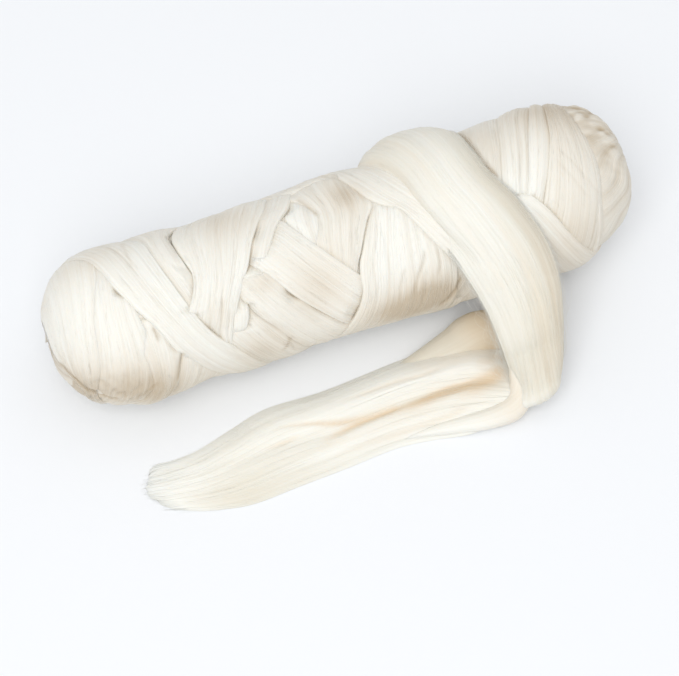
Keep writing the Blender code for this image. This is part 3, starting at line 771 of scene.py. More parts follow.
class ROVING_PG_colours(bpy.types.PropertyGroup):
    """Colours of the wool and the stage."""

    ivory: colour("Ivory", "Undyed wool in its lightest bundles", "#F1F0E9")
    beige: colour("Beige", "Undyed wool in its darker bundles", "#E4DDD0")
    # Flaxen is greyer than the roll's beige, as painted shade of the loose end's falling part.
    flaxen: colour("Flaxen", "Undyed wool in the darker bundles of the loose end", "#E1DCCE")
    pale: colour("Pale", "Wool so thin that a white surface shows through it", "#EFF0EC")
    # Dun is reached mostly where painted shade is added to the tone.
    dun: colour("Dun", "Undyed wool where it is darkest", "#C7B9A4")
    # Groove is a painted shade colour: wool in the gaps, grooves and folds and on the core is painted
    # towards it.
    groove: colour("Groove", "Wool deep between two windings", "#B09A78")
    # Amber is a painted shade colour: the creases and the fold of the loose end are painted towards it,
    # for the warm light bounced inside them.
    amber: colour("Amber", "Wool deep inside a crease of the loose end", "#DEC096")
    floor: colour("Floor", "Pale paper under the roll", "#EFF1F4")


# ---------------------------------------------------------------- numbers


def soft_step(value):
    """A smooth rise from 0 to 1."""
    value = np.clip(value, 0.0, 1.0)
    return value * value * (3.0 - 2.0 * value)


def smooth_rows(rows, count):
    """Rows of numbers made into many by a Catmull-Rom curve through them."""
    rows = np.asarray(rows, dtype=float)
    padded = np.concatenate(([2.0 * rows[0] - rows[1]], rows, [2.0 * rows[-1] - rows[-2]]))
    place = np.linspace(0.0, len(rows) - 1.0, count)
    start = np.minimum(place.astype(int), len(rows) - 2)
    t = (place - start).reshape((-1,) + (1,) * (rows.ndim - 1))
    a, b, c, d = (padded[start + i] for i in range(4))
    curve = 2.0 * b + (c - a) * t + (2.0 * a - 5.0 * b + 4.0 * c - d) * t**2
    return 0.5 * (curve + (3.0 * b - a - 3.0 * c + d) * t**3)


def unit(vectors):
    """Vectors brought to length 1."""
    return vectors / np.maximum(np.linalg.norm(vectors, axis=-1, keepdims=True), 1e-9)


def shares_across(count, drawn):
    """Places from 0 to 1, drawn towards both sides, where the mesh has to be finer."""
    even = np.linspace(0.0, 1.0, count)
    return even + drawn * (0.5 - 0.5 * np.cos(math.pi * even) - even)


def lattice(i, j, seed):
    """Repeatable numbers from -1 to 1 at the points of a square lattice."""
    code = (i * 374761393 + j * 668265263 + seed * 974634777) & 0xFFFFFFFF
    code = ((code ^ (code >> 13)) * 1274126177) & 0xFFFFFFFF
    code = ((code ^ (code >> 16)) * 461845907) & 0xFFFFFFFF
    return ((code ^ (code >> 15)) & 0xFFFF) / 32767.5 - 1.0


def soft_noise(a, b, seed):
    """Smooth noise from -1 to 1 over two coordinates."""
    a, b = np.broadcast_arrays(a, b)
    i, j = np.floor(a).astype(np.int64), np.floor(b).astype(np.int64)
    s, t = soft_step(a - i), soft_step(b - j)
    low = lattice(i, j, seed) * (1.0 - s) + lattice(i + 1, j, seed) * s
    high = lattice(i, j + 1, seed) * (1.0 - s) + lattice(i + 1, j + 1, seed) * s
    return low * (1.0 - t) + high * t


def bundle_height(across, along, seed, depth):
    """Relief of the fibre bundles that run along a winding, in millimetres."""
    across = across + 0.8 * soft_noise(across / 9.0, along / 50.0, seed + 5)
    return depth * sum(
        height * soft_noise(across / width, along / run, seed + 1 + i)
        for i, (width, run, height) in enumerate(BUNDLES)
    )


def creases_at(run, share, width, creases, fade, sway, turns, phase=0.0):
    """How deep the slightly wavy creases along a band are, faded at both ends.

    Columns of the creases: run and share where one starts, run and share where it ends, depth, half width.
    """
    total = 0.0
    for from_run, from_share, to_run, to_share, depth, reach in creases:
        part = (run - from_run) / (to_run - from_run)
        line = from_share + (to_share - from_share) * part + sway * np.sin(part * turns + phase)
        faded = soft_step(part / fade) * soft_step((1.0 - part) / fade)
        total = total + depth * faded * np.exp(-(((share - line) * width / reach) ** 2))
    return total


# ---------------------------------------------------------------- the roll's surface

PROFILE_SMOOTH = smooth_rows(PROFILE, 600)


def radius_at(x):
    """The turned form's radius along the roll."""
    return np.interp(x, PROFILE_SMOOTH[:, 0], PROFILE_SMOOTH[:, 1])


def bend_at(x):
    """How far the roll's middle lies behind its axis."""
    return np.interp(x, PROFILE_SMOOTH[:, 0], PROFILE_SMOOTH[:, 2])


def about_middle(x, degrees, radius, axis_height):
    """Points at angles and distances round the roll's slightly bent middle."""
    angle = np.radians(degrees)
    y = bend_at(x) - radius * np.sin(angle)
    z = axis_height + radius * np.cos(angle)
    return np.stack(np.broadcast_arrays(x, y, z), axis=-1)


def sag_at(x, degrees):
    """How far the soft underside sinks, so that the waist rests too."""
    under = soft_step((np.abs(degrees) - 110.0) / 70.0)
    inner = soft_step((118.0 - np.abs(x)) / 20.0)
    return np.maximum(WIDEST - radius_at(x), 0.0) * under * inner


def wrapped(degrees):
    """An angle brought to between -180 and 180 degrees."""
    return (degrees + 180.0) % 360.0 - 180.0


def spots_at(x, degrees, spots):
    """What soft-edged places on the roll add up to at its points.

    Columns of the places: x, angle, reach along x, reach in degrees, amount.
    """
    turned, total = wrapped(degrees), 0.0
    for place, at, reach, reach_degrees, amount in spots:
        near = ((x - place) / reach) ** 2 + ((turned - at) / reach_degrees) ** 2
        total = total + amount * np.exp(-near)
    return total


def hump_at(x, degrees):
    """How far the unevenly wound wool stands over the turned form, or under it."""
    angle = np.radians(degrees)
    swell = soft_noise(x / 19.0, 1.3 * np.sin(angle) + 5.0, 91)
    swell = swell + soft_noise(x / 19.0, 1.3 * np.cos(angle), 92)
    return HUMP * swell * soft_step((HALF_LENGTH - 8.0 - np.abs(x)) / 20.0) + spots_at(x, degrees, HUMPS)


def on_roll(x, degrees, height, axis_height):
    """Points over the turned form, flattened softly where the roll lies on the surface."""
    turned = wrapped(degrees)
    pressed = 1.0 - 0.8 * soft_step((np.abs(turned) - 125.0) / 50.0)
    radius = radius_at(x) + hump_at(x, degrees) + np.where(height > 0.0, height * pressed, height)
    points = about_middle(x, degrees, radius, axis_height)
    z = points[..., 2] - sag_at(x, turned)
    low = SOFT_FLOOR * np.exp(np.minimum(z - SOFT_FLOOR, 0.0) / SOFT_FLOOR)
    points[..., 2] = np.where(z < SOFT_FLOOR, low, z)
    return points


def turned_in(x):
    """A place along the roll, drawn in softly near both ends, where a winding turns back."""
    size, reach = np.abs(x), HALF_LENGTH - END_START - 4.0
    drawn = END_START + reach * (1.0 - np.exp(-np.maximum(size - END_START, 0.0) / reach))
    return np.sign(x) * np.where(size > END_START, drawn, size)


def beside_lines(u, v, lines, fullness, stretch=1.0):
    """How deep lines are at points u, v, and how dark they are painted as painted shade.

    A line is given as its depth, half width, darkness of its painted shade and the places it runs through.
    One unit of v is `stretch` long. `fullness` says how full a line is from the lengths of it before and
    behind a point.
    """
    depth, dark = np.zeros_like(u), np.zeros_like(u)
    for deep, reach, tint, line in lines:
        corners = np.array(line) * (1.0, stretch)
        runs = np.linalg.norm(np.diff(corners, axis=0), axis=1)
        total, before = runs.sum(), 0.0
        for start, end, run in zip(corners[:-1], corners[1:], runs):
            step = (end - start) / run
            du, dv = u - start[0], v * stretch - start[1]
            along = np.clip(du * step[0] + dv * step[1], 0.0, run)
            away = np.hypot(du - along * step[0], dv - along * step[1])
            here = fullness(before + along, total - before - along) * np.exp(-(away / reach) ** 2)
            depth = np.maximum(depth, deep * here)
            dark = np.maximum(dark, tint * here)
            before += run
    return depth, dark


# ---------------------------------------------------------------- windings as tables of numbers


def straight_rows(top_x, advance, width, from_deg, to_deg, level, seed):
    """The rows of a straight winding, with slightly uneven sides and both ends tucked under."""
    degrees = np.linspace(from_deg, to_deg, max(4, round((to_deg - from_deg) / 22.0)))
    middle = top_x + advance * degrees
    left = middle - 0.5 * width + 1.3 * soft_noise(degrees / 50.0, 0.5, seed)
    right = middle + 0.5 * width + 1.3 * soft_noise(degrees / 50.0, 9.5, seed)
    run = np.minimum(degrees - from_deg, to_deg - degrees)
    height = level * (np.ones_like(run) if to_deg - from_deg > 359.0 else soft_step(run / 30.0))
    return np.stack((degrees, turned_in(left), turned_in(right), height, height), axis=1)


def calmed(side, step):
    """A side with its corners drawn out, which the fibres inside a winding follow."""
    reach = max(2, round(16.0 / step))
    weights = np.exp(-0.5 * (np.arange(-2 * reach, 2 * reach + 1) / reach) ** 2)
    before = side[0] + (side[1] - side[0]) * np.arange(-2 * reach, 0)
    after = side[-1] + (side[-1] - side[-2]) * np.arange(1, 2 * reach + 1)
    return np.convolve(np.concatenate((before, side, after)), weights / weights.sum(), "valid")


def prepared(name, rows, index, step=STEP_DEGREES):
    """A winding ready to be built: its smooth sides, heights, width and length run."""
    rows = np.asarray(rows, dtype=float)
    count = max(8, round((rows[-1, 0] - rows[0, 0]) / step))
    fine = smooth_rows(rows, count * 3)
    even = np.linspace(rows[0, 0], rows[-1, 0], count)
    order = np.maximum.accumulate(fine[:, 0])
    left, right, level_left, level_right = (np.interp(even, order, fine[:, i]) for i in range(1, 5))
    slope = np.gradient(0.5 * (left + right), even) / ARC_PER_DEGREE
    width = (right - left) / np.sqrt(1.0 + slope**2)
    run = np.cumsum(np.sqrt(1.0 + slope**2) * ARC_PER_DEGREE * np.gradient(even))
    sunk = END_DEPTH * (1.0 - soft_step(np.minimum(even - even[0], even[-1] - even) / 14.0))
    if name.startswith("under_") or name == "ring_right":
        sunk = 0.0  # these run all the way round
    level_left, level_right = (
        LEVEL_MIDDLE + LEVEL_SPREAD * (level - LEVEL_MIDDLE) - sunk for level in (level_left, level_right)
    )
    tone, depth = TONES.get(name, (0.35, 1.0))
    return {
        "name": name, "seed": 17 * index + 3, "tone": tone, "bundles": depth, "deg": even, "left": left,
        "right": right, "level_left": level_left, "level_right": level_right, "width": width, "run": run,
        "calm_left": calmed(left, step), "calm_right": calmed(right, step),
    }


def all_windings():
    """Every winding, the under layer first."""
    made = []
    for i in range(UNDER_WINDINGS):
        top_x = (i - 0.5 * (UNDER_WINDINGS - 1)) * UNDER_SPACING - 6.0
        rows = straight_rows(top_x, UNDER_ADVANCE, UNDER_WIDTH, -184.0, 184.0, UNDER_LEVEL, 400 + i)
        made.append(prepared(f"under_{i + 1}", rows, 40 + i, 4.0))
    for i, (name, row) in enumerate(STRAIGHT.items()):
        made.append(prepared(name, straight_rows(*row, seed=500 + i), 60 + i, 3.2))
    for i, (name, rows) in enumerate(SHAPED.items()):
        made.append(prepared(name, rows, i))
    return made


def layer_of(winding):
    """Name of the piece that a winding belongs to."""
    if winding["name"].startswith("under_"):
        return "under_windings"
    return "back_windings" if winding["name"] in STRAIGHT else "front_windings"


def level_of(winding, x, degrees):
    """Height of a winding at points of the roll, and how far outside its sides they lie."""
    left = np.interp(degrees, winding["deg"], winding["left"])
    right = np.interp(degrees, winding["deg"], winding["right"])
    width = np.interp(degrees, winding["deg"], winding["width"])
    share = (x - left) / np.maximum(right - left, 0.1)
    low = np.interp(degrees, winding["deg"], winding["level_left"])
    high = np.interp(degrees, winding["deg"], winding["level_right"])
    level = low + (high - low) * soft_step(share)
    return level, np.maximum(-share, share - 1.0) * width


def gap_at(x, degrees):
    """How much deeper the gaps beside windings are at points of the roll, and how much darker they are
    painted as painted shade.
    """
    return spots_at(x, degrees, [(*row[:3], row[2] / ARC_PER_DEGREE, row[3]) for row in GAPS])


def pressed_in(own, windings, x, degrees, level, height):
    """How far the windings laid over these points press them in, and how near a side of one lies."""
    depth, near_side = np.zeros_like(x), np.zeros_like(x)
    uneven = 1.0 + 0.7 * soft_noise(x / 11.0, degrees / 18.0, 31) + gap_at(x, degrees)
    for other in windings:
        if other is own:
            continue
        for turn in (-360.0, 0.0, 360.0):
            angle = degrees + turn
            if angle.max() < other["deg"][0] or angle.min() > other["deg"][-1]:
                continue
            top, outside = level_of(other, x, angle)
            run = np.minimum(angle - other["deg"][0], other["deg"][-1] - angle)
            over = soft_step((top - level) / 0.15) * soft_step(run / 5.0)
            beyond = np.maximum(outside, 0.0)
            covered = COVERED_DEPTH * soft_step(-(outside + 0.7) / 2.2)
            limit = top - CREASE_DEPTH * np.minimum(uneven, MOST_UNEVEN) + CREASE_SLOPE * beyond - covered
            depth = np.maximum(depth, over * np.clip(height - limit, 0.0, MOST_PRESSED))
            near = over * np.exp(-((beyond / CREASE_REACH) ** 2))
            near_side = np.maximum(near_side, near * np.maximum(uneven, 0.0))
    return depth, near_side


def groove_fullness(before, behind):
    """How full a groove is: it fades out at both ends."""
    return soft_step(np.minimum(before, behind) / 3.0 + 0.25)


def shade_at(x, degrees):
    """How much beiger the wool is painted at points of the roll than its winding's own tone: painted shade
    low in front, at the back of its top and at the listed places, and painted light where an amount is
    negative.
    """
    turned = wrapped(degrees)
    shade = LOW_SHADE * np.exp(-(((turned - 114.0) / 32.0) ** 2))
    shade = shade + TOP_SHADE * np.exp(-(((turned + 58.0) / 30.0) ** 2))
    return shade + spots_at(x, degrees, SHADES)


def crimp_at(x, degrees):
    """Small crinkles of the wool at points of the roll."""
    return spots_at(x, degrees, CRIMPS) * soft_noise(x / 1.5 + degrees / 9.0, degrees / 4.6, 47)


# ---------------------------------------------------------------- meshes


def closed_rings(points):
    """Faces of a closed body of rings, as (corner indices of quads, of triangles), turned outwards."""
    count, size = points.shape[:2]
    index = np.arange(count * size).reshape(count, size)
    following = np.roll(index, -1, axis=1)
    quads = np.stack((index[:-1], index[1:], following[1:], following[:-1]), axis=-1).reshape(-1, 4)
    first, last = count * size, count * size + 1
    head = np.stack((np.full(size, first), index[0], following[0]), axis=-1)
    tail = np.stack((np.full(size, last), following[-1], index[-1]), axis=-1)
    flat = np.concatenate((points.reshape(-1, 3), [points[0].mean(0)], [points[-1].mean(0)]))
    triangles = np.concatenate((head, tail))
    a, b, c, d = (flat[quads[:, i]] for i in range(4))
    volume = np.einsum("ij,ij->", a, np.cross(b, c)) + np.einsum("ij,ij->", a, np.cross(c, d))
    if volume < 0.0:
        quads, triangles = quads[:, ::-1], triangles[:, ::-1]
    return flat, quads, triangles


def with_caps(values):
    """Values of a body's rings with those of its two end points added."""
    flat = values.reshape((-1,) + values.shape[2:])
    return np.concatenate((flat, [values[0].mean(0)], [values[-1].mean(0)]))


def ringed_body(points, lay, tone, painted_shade):
    """A closed body of rings, with how its fibres lie, its tone and its painted shade, darker deep in
    creases and gaps.
    """
    return closed_rings(points) + (with_caps(lay), with_caps(tone), with_caps(painted_shade))


def make_piece(name, bodies, finish, node):
    """One piece of closed bodies, each (points, quads, triangles, lay, tone, painted shade) in
    millimetres.
    """
    offset, points, quads, triangles = 0, [], [], []
    for body in bodies:
        points.append(body[0])
        quads.append(body[1] + offset)
        triangles.append(body[2] + offset)
        offset += len(body[0])
    points, quads, triangles = (np.concatenate(part) for part in (points, quads, triangles))
    mesh = bpy.data.meshes.new(name)
    mesh.vertices.add(len(points))
    mesh.vertices.foreach_set("co", (points * MM).astype(np.float32).ravel())
    corners = np.concatenate((quads.ravel(), triangles.ravel())).astype(np.int32)
    mesh.loops.add(len(corners))
    mesh.loops.foreach_set("vertex_index", corners)
    starts = np.concatenate((np.arange(len(quads)) * 4, quads.size + np.arange(len(triangles)) * 3))
    mesh.polygons.add(len(starts))
    mesh.polygons.foreach_set("loop_start", starts.astype(np.int32))
    mesh.update(calc_edges=True)
    mesh.shade_smooth()
    # The third attribute is painted shade, darker deep in creases and gaps.
    kinds = (("lay", "FLOAT_VECTOR", "vector"), ("tone", "FLOAT", "value"), ("painted_shade", "FLOAT", "value"))
    for index, (label, kind, key) in enumerate(kinds):
        values = np.concatenate([body[3 + index] for body in bodies]).astype(np.float32)
        mesh.attributes.new(label, kind, "POINT").data.foreach_set(key, values.ravel())
    mesh.validate()
    mesh.materials.append(finish)
    piece = bpy.data.objects.new(name, mesh)
    bpy.context.scene.collection.objects.link(piece)
    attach(piece, "root")
    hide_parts(node)
    return piece


def winding_body(winding, windings, axis_height):
    """A winding as a closed body, and its outer face as a grid."""
    mean_width = winding["width"].mean()
    step = STEP_ACROSS * (UNDER_COARSER if layer_of(winding) == "under_windings" else 1.0)
    count = max(10, round(mean_width / step))
    degrees, place = np.meshgrid(winding["deg"], shares_across(count, 0.28), indexing="ij")
    left, right, width, run, low, high = (
        winding[key][:, None] for key in ("left", "right", "width", "run", "level_left", "level_right")
    )
    calm_left, calm_right = winding["calm_left"][:, None], winding["calm_right"][:, None]
    x = calm_left + (calm_right - calm_left) * place
    x = x + (left - calm_left) * np.exp(-place * width / CALM_REACH)
    x = x + (right - calm_right) * np.exp(-(1.0 - place) * width / CALM_REACH)
    x = np.clip(x, 1.1 - HALF_LENGTH, HALF_LENGTH - 1.1)
    level = low + (high - low) * soft_step(place)
    across = place * mean_width + 40.0 * winding["seed"]
    along = run + 0.0 * place
    relief = bundle_height(across, along, winding["seed"], winding["bundles"])
    creases = CREASES.get(winding["name"], ())
    relief = relief - 0.4 * creases_at(degrees, place, width / 0.75, creases, 0.18, 0.012, 9.0)
    relief = relief + crimp_at(x, degrees)
    from_side = np.minimum(place, 1.0 - place) * width
    drawn_out = np.clip(-gap_at(x, degrees), 0.0, 1.0)
    inwards = np.minimum(from_side / (SIDE_RADIUS + DRAWN_SIDE * drawn_out), 1.0)
    side = (SIDE_DEPTH + 0.4 * drawn_out) * (1.0 - np.sqrt(1.0 - (1.0 - inwards) ** 2))
    own_height = level + CROWN * (1.0 - (2.0 * place - 1.0) ** 2)
    depth, near_side = pressed_in(winding, windings, x, degrees, level, own_height)
    groove, dark = beside_lines(x, degrees, GROOVES, groove_fullness, ARC_PER_DEGREE)
    height = own_height + relief - side - depth - groove
    outer = on_roll(x, degrees, height, axis_height)
    # Painted shade: darker beside a winding laid over this one, down its rounded side, where its bundles
    # lie low and in the grooves.
    painted_shade = SIDE_PAINTED_SHADE * (near_side + (1.0 - drawn_out) * side / SIDE_DEPTH)
    painted_shade = painted_shade - RELIEF_PAINTED_SHADE * np.minimum(relief + 0.12, 0.0)
    painted_shade = np.clip(np.maximum(painted_shade, dark), 0.0, 1.0)
    under = slice(-4, 3, -max(1, count // 5))
    inner = on_roll(x, degrees, level - SIDE_DEPTH - 0.9 - depth, axis_height)[:, under]
    lay = np.stack((across, along, np.full_like(across, winding["seed"])), axis=-1)
    # Painted shade and painted light from shade_at are added to the winding's own tone.
    tone = winding["tone"] + shade_at(x, degrees)
    lay, tone, painted_shade = (np.concatenate((part, part[:, under]), axis=1) for part in (lay, tone, painted_shade))
    return ringed_body(np.concatenate((outer, inner), axis=1), lay, tone, painted_shade), outer


def core_body(axis_height, depth):
    """The core under all the windings, seen only in the gaps between them, painted dark towards the groove
    colour as painted shade of those gaps.
    """
    half = HALF_LENGTH - 6.0
    sides = np.linspace(-180.0, 180.0, 96, endpoint=False)
    x, degrees = np.meshgrid(np.linspace(-half, half, 90), sides, indexing="ij")
    points = on_roll(x, degrees, 0.5 * soft_noise(x / 2.4, degrees / 60.0, 77) - depth, axis_height)
    lay = np.stack((x, 0.6 * degrees, np.full_like(x, 7.0)), axis=-1)
    return ringed_body(points, lay, np.full_like(x, 0.7), np.full_like(x, 0.63))


def end_body(side, axis_height, seed):
    """A turned-in end: folds that gather towards its middle, round a small dimple."""
    station = np.linspace(0.0, 1.0, 64)
    sides = np.linspace(-180.0, 180.0, 240, endpoint=False)
    place, angle = np.meshgrid(station, sides, indexing="ij")
    x = side * (END_START + (HALF_LENGTH - END_START) * np.sin(0.5 * math.pi * station) ** 0.9)[:, None]
    turned = np.radians(angle)
    ring = (2.2 * np.sin(turned) + 4.0, 2.2 * np.cos(turned) + 1.7 * place)
    swirl = angle + side * 46.0 * place**1.4 + (8.0 + 9.0 * place) * soft_noise(*ring, seed)
    fold = np.abs(np.sin(np.radians(0.5 * 15.0 * swirl))) ** 0.75
    size = 0.75 + 0.6 * soft_noise(1.6 * ring[0], 1.6 * ring[1], seed + 2)
    small = np.abs(np.sin(np.radians(0.5 * 53.0 * swirl + 130.0 * place)))
    lumps = soft_noise(np.sin(turned) * 12.0 + 20.0, np.cos(turned) * 12.0 + 11.0 * place, seed + 3)
    upper = np.exp(-(((angle + 45.0) / 55.0) ** 2)) * np.exp(-(((place - 0.35) / 0.35) ** 2))
    fuller = 2.0 * soft_step((1.0 - place) / 0.8) + (3.2 * upper if side > 0.0 else 0.0)
    depth = soft_step(place / 0.28) * soft_step((1.0 - place) / 0.12)
    relief = depth * (0.9 * size * (fold - 0.62) + 0.5 * size * (small - 0.6)) + 1.0 * upper * lumps
    dimple = 2.6 * np.exp(-(((1.0 - place) / 0.16) ** 2))
    radius = np.maximum(radius_at(x) - 0.6 + fuller + relief * (1.0 - 0.6 * place), 0.05)
    points = about_middle(x, angle, radius, axis_height)
    points[..., 0] += side * (0.55 * relief * place - dimple - 0.5)
    points[..., 2] = np.maximum(points[..., 2], 0.3)
    lay = np.stack((np.radians(swirl) * 29.25, place * 30.0, np.full_like(place, seed)), axis=-1)
    # The left end, which faces down and away from the light, is painted beiger than the right as painted
    # shade; the right end is beiger up on its upper side.
    tone = (0.55 if side > 0.0 else 0.95) + 0.7 * upper
    # Painted shade: the folds, the low places between the lumps and the middle are painted darker towards
    # the groove colour.
    heart = 0.3 * np.exp(-(((1.0 - place) / 0.2) ** 2))
    painted_shade = 0.2 + 0.8 * upper * (0.3 - lumps) + 0.3 * (0.75 - fold) * depth + heart
    return ringed_body(points, lay, tone, np.clip(painted_shade, 0.0, 1.0))


# ---------------------------------------------------------------- the loose end's surface


def loose_guides(shares, axis_height):
    """Points of the loose end's guiding surface at each row of its tables."""
    rows = []
    for left_x, left_deg, right_x, right_deg, _ in ON_ROLL:
        x = left_x + (right_x - left_x) * shares
        degrees = left_deg + (right_deg - left_deg) * shares
        lift = RAIL_LIFT - SUNK_SIDE * (1.0 - soft_step(shares / SUNK_SHARE))
        rows.append(about_middle(x, degrees, radius_at(x) + lift, axis_height))
    for row in FREE:
        left, right = np.array(row[0:3]), np.array(row[3:6])
        bow = 4.0 * shares * (1.0 - shares) * row[6]
        rows.append(left + (right - left) * shares[:, None] + OUTWARDS * bow[:, None])
    return np.array(rows)


def loose_thickness(share, thickness, on_top, lying):
    """Half the thickness across the loose end.

    It is full in the middle and round at its sides, drawn out thin at its left side where it lies on the
    roll, and at both sides where it lies on the surface.
    """
    beside = np.abs(2.0 * share - 1.0)
    round_side = np.maximum(1.0 - beside**2.4, 0.0) ** 0.7
    soft_side = np.minimum(round_side, soft_step(share / 0.45) ** 0.8)
    thin_side = np.maximum(1.0 - beside**2.4, 0.0) ** 1.15
    form = round_side + (soft_side - round_side) * on_top
    form = form + (thin_side - form) * lying
    least = EDGE_THICKNESS + (THIN_EDGE - EDGE_THICKNESS) * np.maximum(lying, on_top * (share < 0.5))
    return np.maximum(0.5 * thickness * form, 0.5 * least)


def lobe_height(share, width, lobes, valley):
    """Two soft lobes with a narrow valley between them."""
    pit = np.exp(-(((share - valley) * width / 4.6) ** 2))
    return lobes * np.sin(math.pi * share) * (0.35 - 1.3 * pit)


def floor_fullness(before, behind):
    """How full a crease of the lying part is: it starts soon and dies away slowly."""
    return soft_step(behind / (0.55 * (before + behind))) * soft_step(before / 8.0 + 0.15)


def floor_creases(points):
    """Depth of the slightly wavy creases that run over the lying part, and how dark they are painted as
    painted shade.
    """
    wave = 0.8 * soft_noise(points[..., 0] / 16.0, 0.5, 71)
    return beside_lines(points[..., 0], points[..., 1] + wave, FLOOR_CREASES, floor_fullness)


def clear_of_roll(points, windings, axis_height, sunk):
    """Points of the loose end, those too near the windings moved out to a small clearance.

    The clearance is less by what the loose end is sunk in.
    """
    x = points[..., 0]
    forward = bend_at(x) - points[..., 1]
    degrees = np.degrees(np.arctan2(forward, points[..., 2] - axis_height))
    radius = np.hypot(forward, points[..., 2] - axis_height)
    top = np.full_like(x, UNDER_LEVEL)
    for winding in windings:
        for turn in (-360.0, 0.0, 360.0):
            angle = degrees + turn
            level, outside = level_of(winding, x, angle)
            inside = (outside < 0.5) & (angle > winding["deg"][0]) & (angle < winding["deg"][-1])
            top = np.where(inside, np.maximum(top, level + CROWN), top)
    least = radius_at(x) + hump_at(x, degrees) + np.maximum(top, 0.0) + 0.15 - sunk
    near = (np.abs(x) < HALF_LENGTH - 12.0) & (radius < least)
    return np.where(near[..., None], about_middle(x, degrees, least, axis_height), points)


def loose_relief(face, seed, grid):
    """Height of the bundles and swells on one face of the loose end, and depth of its creases."""
    across, along, shares, row, width = grid
    swell = 0.45 * soft_noise(across / 14.0, along / 90.0, seed + 9)
    relief = 0.8 * bundle_height(across, along, seed, 1.0) + swell
    relief = relief * soft_step(np.minimum(shares, 1.0 - shares) / 0.06)
    creases = [crease[1:] for crease in LOOSE_CREASES if crease[0] == face]
    return relief, LOOSE_DEPTHS[face] * creases_at(row, shares, width, creases, 0.2, 0.014, 11.0, seed)


def loose_shades(tone, row, shares):
    """Adds the painted shade and painted light of both faces to the loose end's tone."""
    for face, at_row, at_share, reach_rows, reach_share, amount in LOOSE_SHADES:
        near = ((row - at_row) / reach_rows) ** 2 + ((shares - at_share) / reach_share) ** 2
        more = amount * np.exp(-near)
        if face == "outer":
            tone[:, :ACROSS_TOP] += more
        else:
            tone[:, ACROSS_TOP:] += more[:, ::-1]


def loose_body(windings, axis_height):
    """The loose end as a closed body, with its outer and inner faces as grids."""
    shares = shares_across(ACROSS_TOP, 0.4)
    middle = smooth_rows(loose_guides(shares, axis_height), SECTIONS)
    form = [(row[4], 1.0, 0.0, 0.5, 1.0) for row in ON_ROLL]
    form += [(*row[7:], 1.0 if i == 0 else 0.0) for i, row in enumerate(FREE)]
    form = smooth_rows(form, SECTIONS)
    thickness, seat, lobes, valley, on_top = (form[:, i:i + 1] for i in range(5))
    lying = soft_step(-seat)
    ragged = soft_step((-92.0 - middle[..., 0]) / 22.0)
    ends = 2.4 * soft_noise(shares * 7.0, 0.5, 37) + 0.8 * soft_noise(shares * 19.0, 0.5, 38)
    middle[..., 0] += ragged * (ends + 5.0 * np.abs(2.0 * shares - 0.9) ** 2)[None, :]
    normals = unit(np.cross(np.gradient(middle, axis=1), np.gradient(middle, axis=0)))
    middle[-1] = middle[-2] + 0.1 * (middle[-1] - middle[-2])
    step = np.linalg.norm(np.gradient(middle[:, ACROSS_TOP // 2], axis=0), axis=1)
    along, across = np.broadcast_arrays(np.cumsum(step)[:, None], shares * BAND_ACROSS)
    width = np.linalg.norm(middle[:, -1] - middle[:, 0], axis=1)[:, None]
    row = np.linspace(0.0, len(ON_ROLL) + len(FREE) - 1.0, SECTIONS)[:, None]

    relief = {}
    for seed, face in ((901, "outer"), (955, "inner")):
        bundles, creases = loose_relief(face, seed, (across, along, shares, row, width))
        relief[face] = (1.0 - 0.9 * ragged) * bundles - creases
    crease, dark = floor_creases(middle)
    relief["inner"] -= crease * lying
    half = loose_thickness(shares, thickness, on_top, lying)
    raised = np.maximum(lobe_height(shares, width, lobes, valley), 0.1 - half * (1.0 - seat))
    outer_lift = np.maximum(half * (1.0 + seat) + relief["outer"], 0.05 - half)
    inner_lift = half * (1.0 - seat) + raised + relief["inner"]
    sunk = SUNK_SIDE * on_top * (1.0 - soft_step(shares / SUNK_SHARE))
    outer, inner = (
        clear_of_roll(middle + normals * lift[..., None], windings, axis_height, sunk)
        for lift in (-outer_lift, inner_lift)
    )
    for face in (outer, inner):
        face[..., 2] = np.maximum(face[..., 2], 0.05)

    points = np.concatenate((outer, inner[:, ::-1]), axis=1)
    lay = np.stack((across, along, np.full_like(across, 5.0)), axis=-1)
    lay = np.concatenate((lay, (lay + (60.0, 0.0, 3.0))[:, ::-1]), axis=1)
    # Painted shade: the loose end is painted darker where its bundles lie low and in the creases of the
    # lying part.
    painted_shade = np.concatenate((-0.35 * relief["outer"], (dark - 0.25 * relief["inner"])[:, ::-1]), axis=1)
    tip = soft_step((-70.0 - points[..., 0]) / 46.0) * soft_step((60.0 - points[..., 2]) / 20.0)
    tone = np.where(points[..., 1] < -50.0, 0.04 - 1.0 * tip, 0.12)
    loose_shades(tone, row, shares)
    return ringed_body(points, lay, tone, np.clip(painted_shade, 0.0, 1.0)), outer, inner


def bundle_body(path_rows, seed, own_tone, dark):
    """A soft bundle round a path, as a closed body, with its tone, painted amber near the fold as painted
    shade.
    """
    rows = smooth_rows(path_rows, 90)
    path, size = rows[:, :3], rows[:, 3:4]
    along = unit(np.gradient(path, axis=0))
    side = unit(np.cross(along, (0.0, 0.0, 1.0)))
    up = np.cross(side, along)
    run = np.cumsum(np.linalg.norm(np.gradient(path, axis=0), axis=1))
    run, angle = np.meshgrid(run, np.linspace(0.0, math.tau, 72, endpoint=False), indexing="ij")
    across = np.abs(wrapped(np.degrees(angle))) / 180.0 * 16.0
    radius = size + 0.8 * bundle_height(across, run, seed, 1.0)
    turned = np.cos(angle)[..., None] * side[:, None] + np.sin(angle)[..., None] * up[:, None]
    points = path[:, None] + radius[..., None] * turned
    points[..., 2] = np.maximum(points[..., 2], 0.1)
    lay = np.stack((across, run, np.full_like(run, float(seed))), axis=-1)
    painted_shade = dark * np.exp(-(((points[..., 0] - FOLD_X) / 14.0) ** 2))
    return ringed_body(points, lay, np.full_like(run, own_tone), painted_shade)


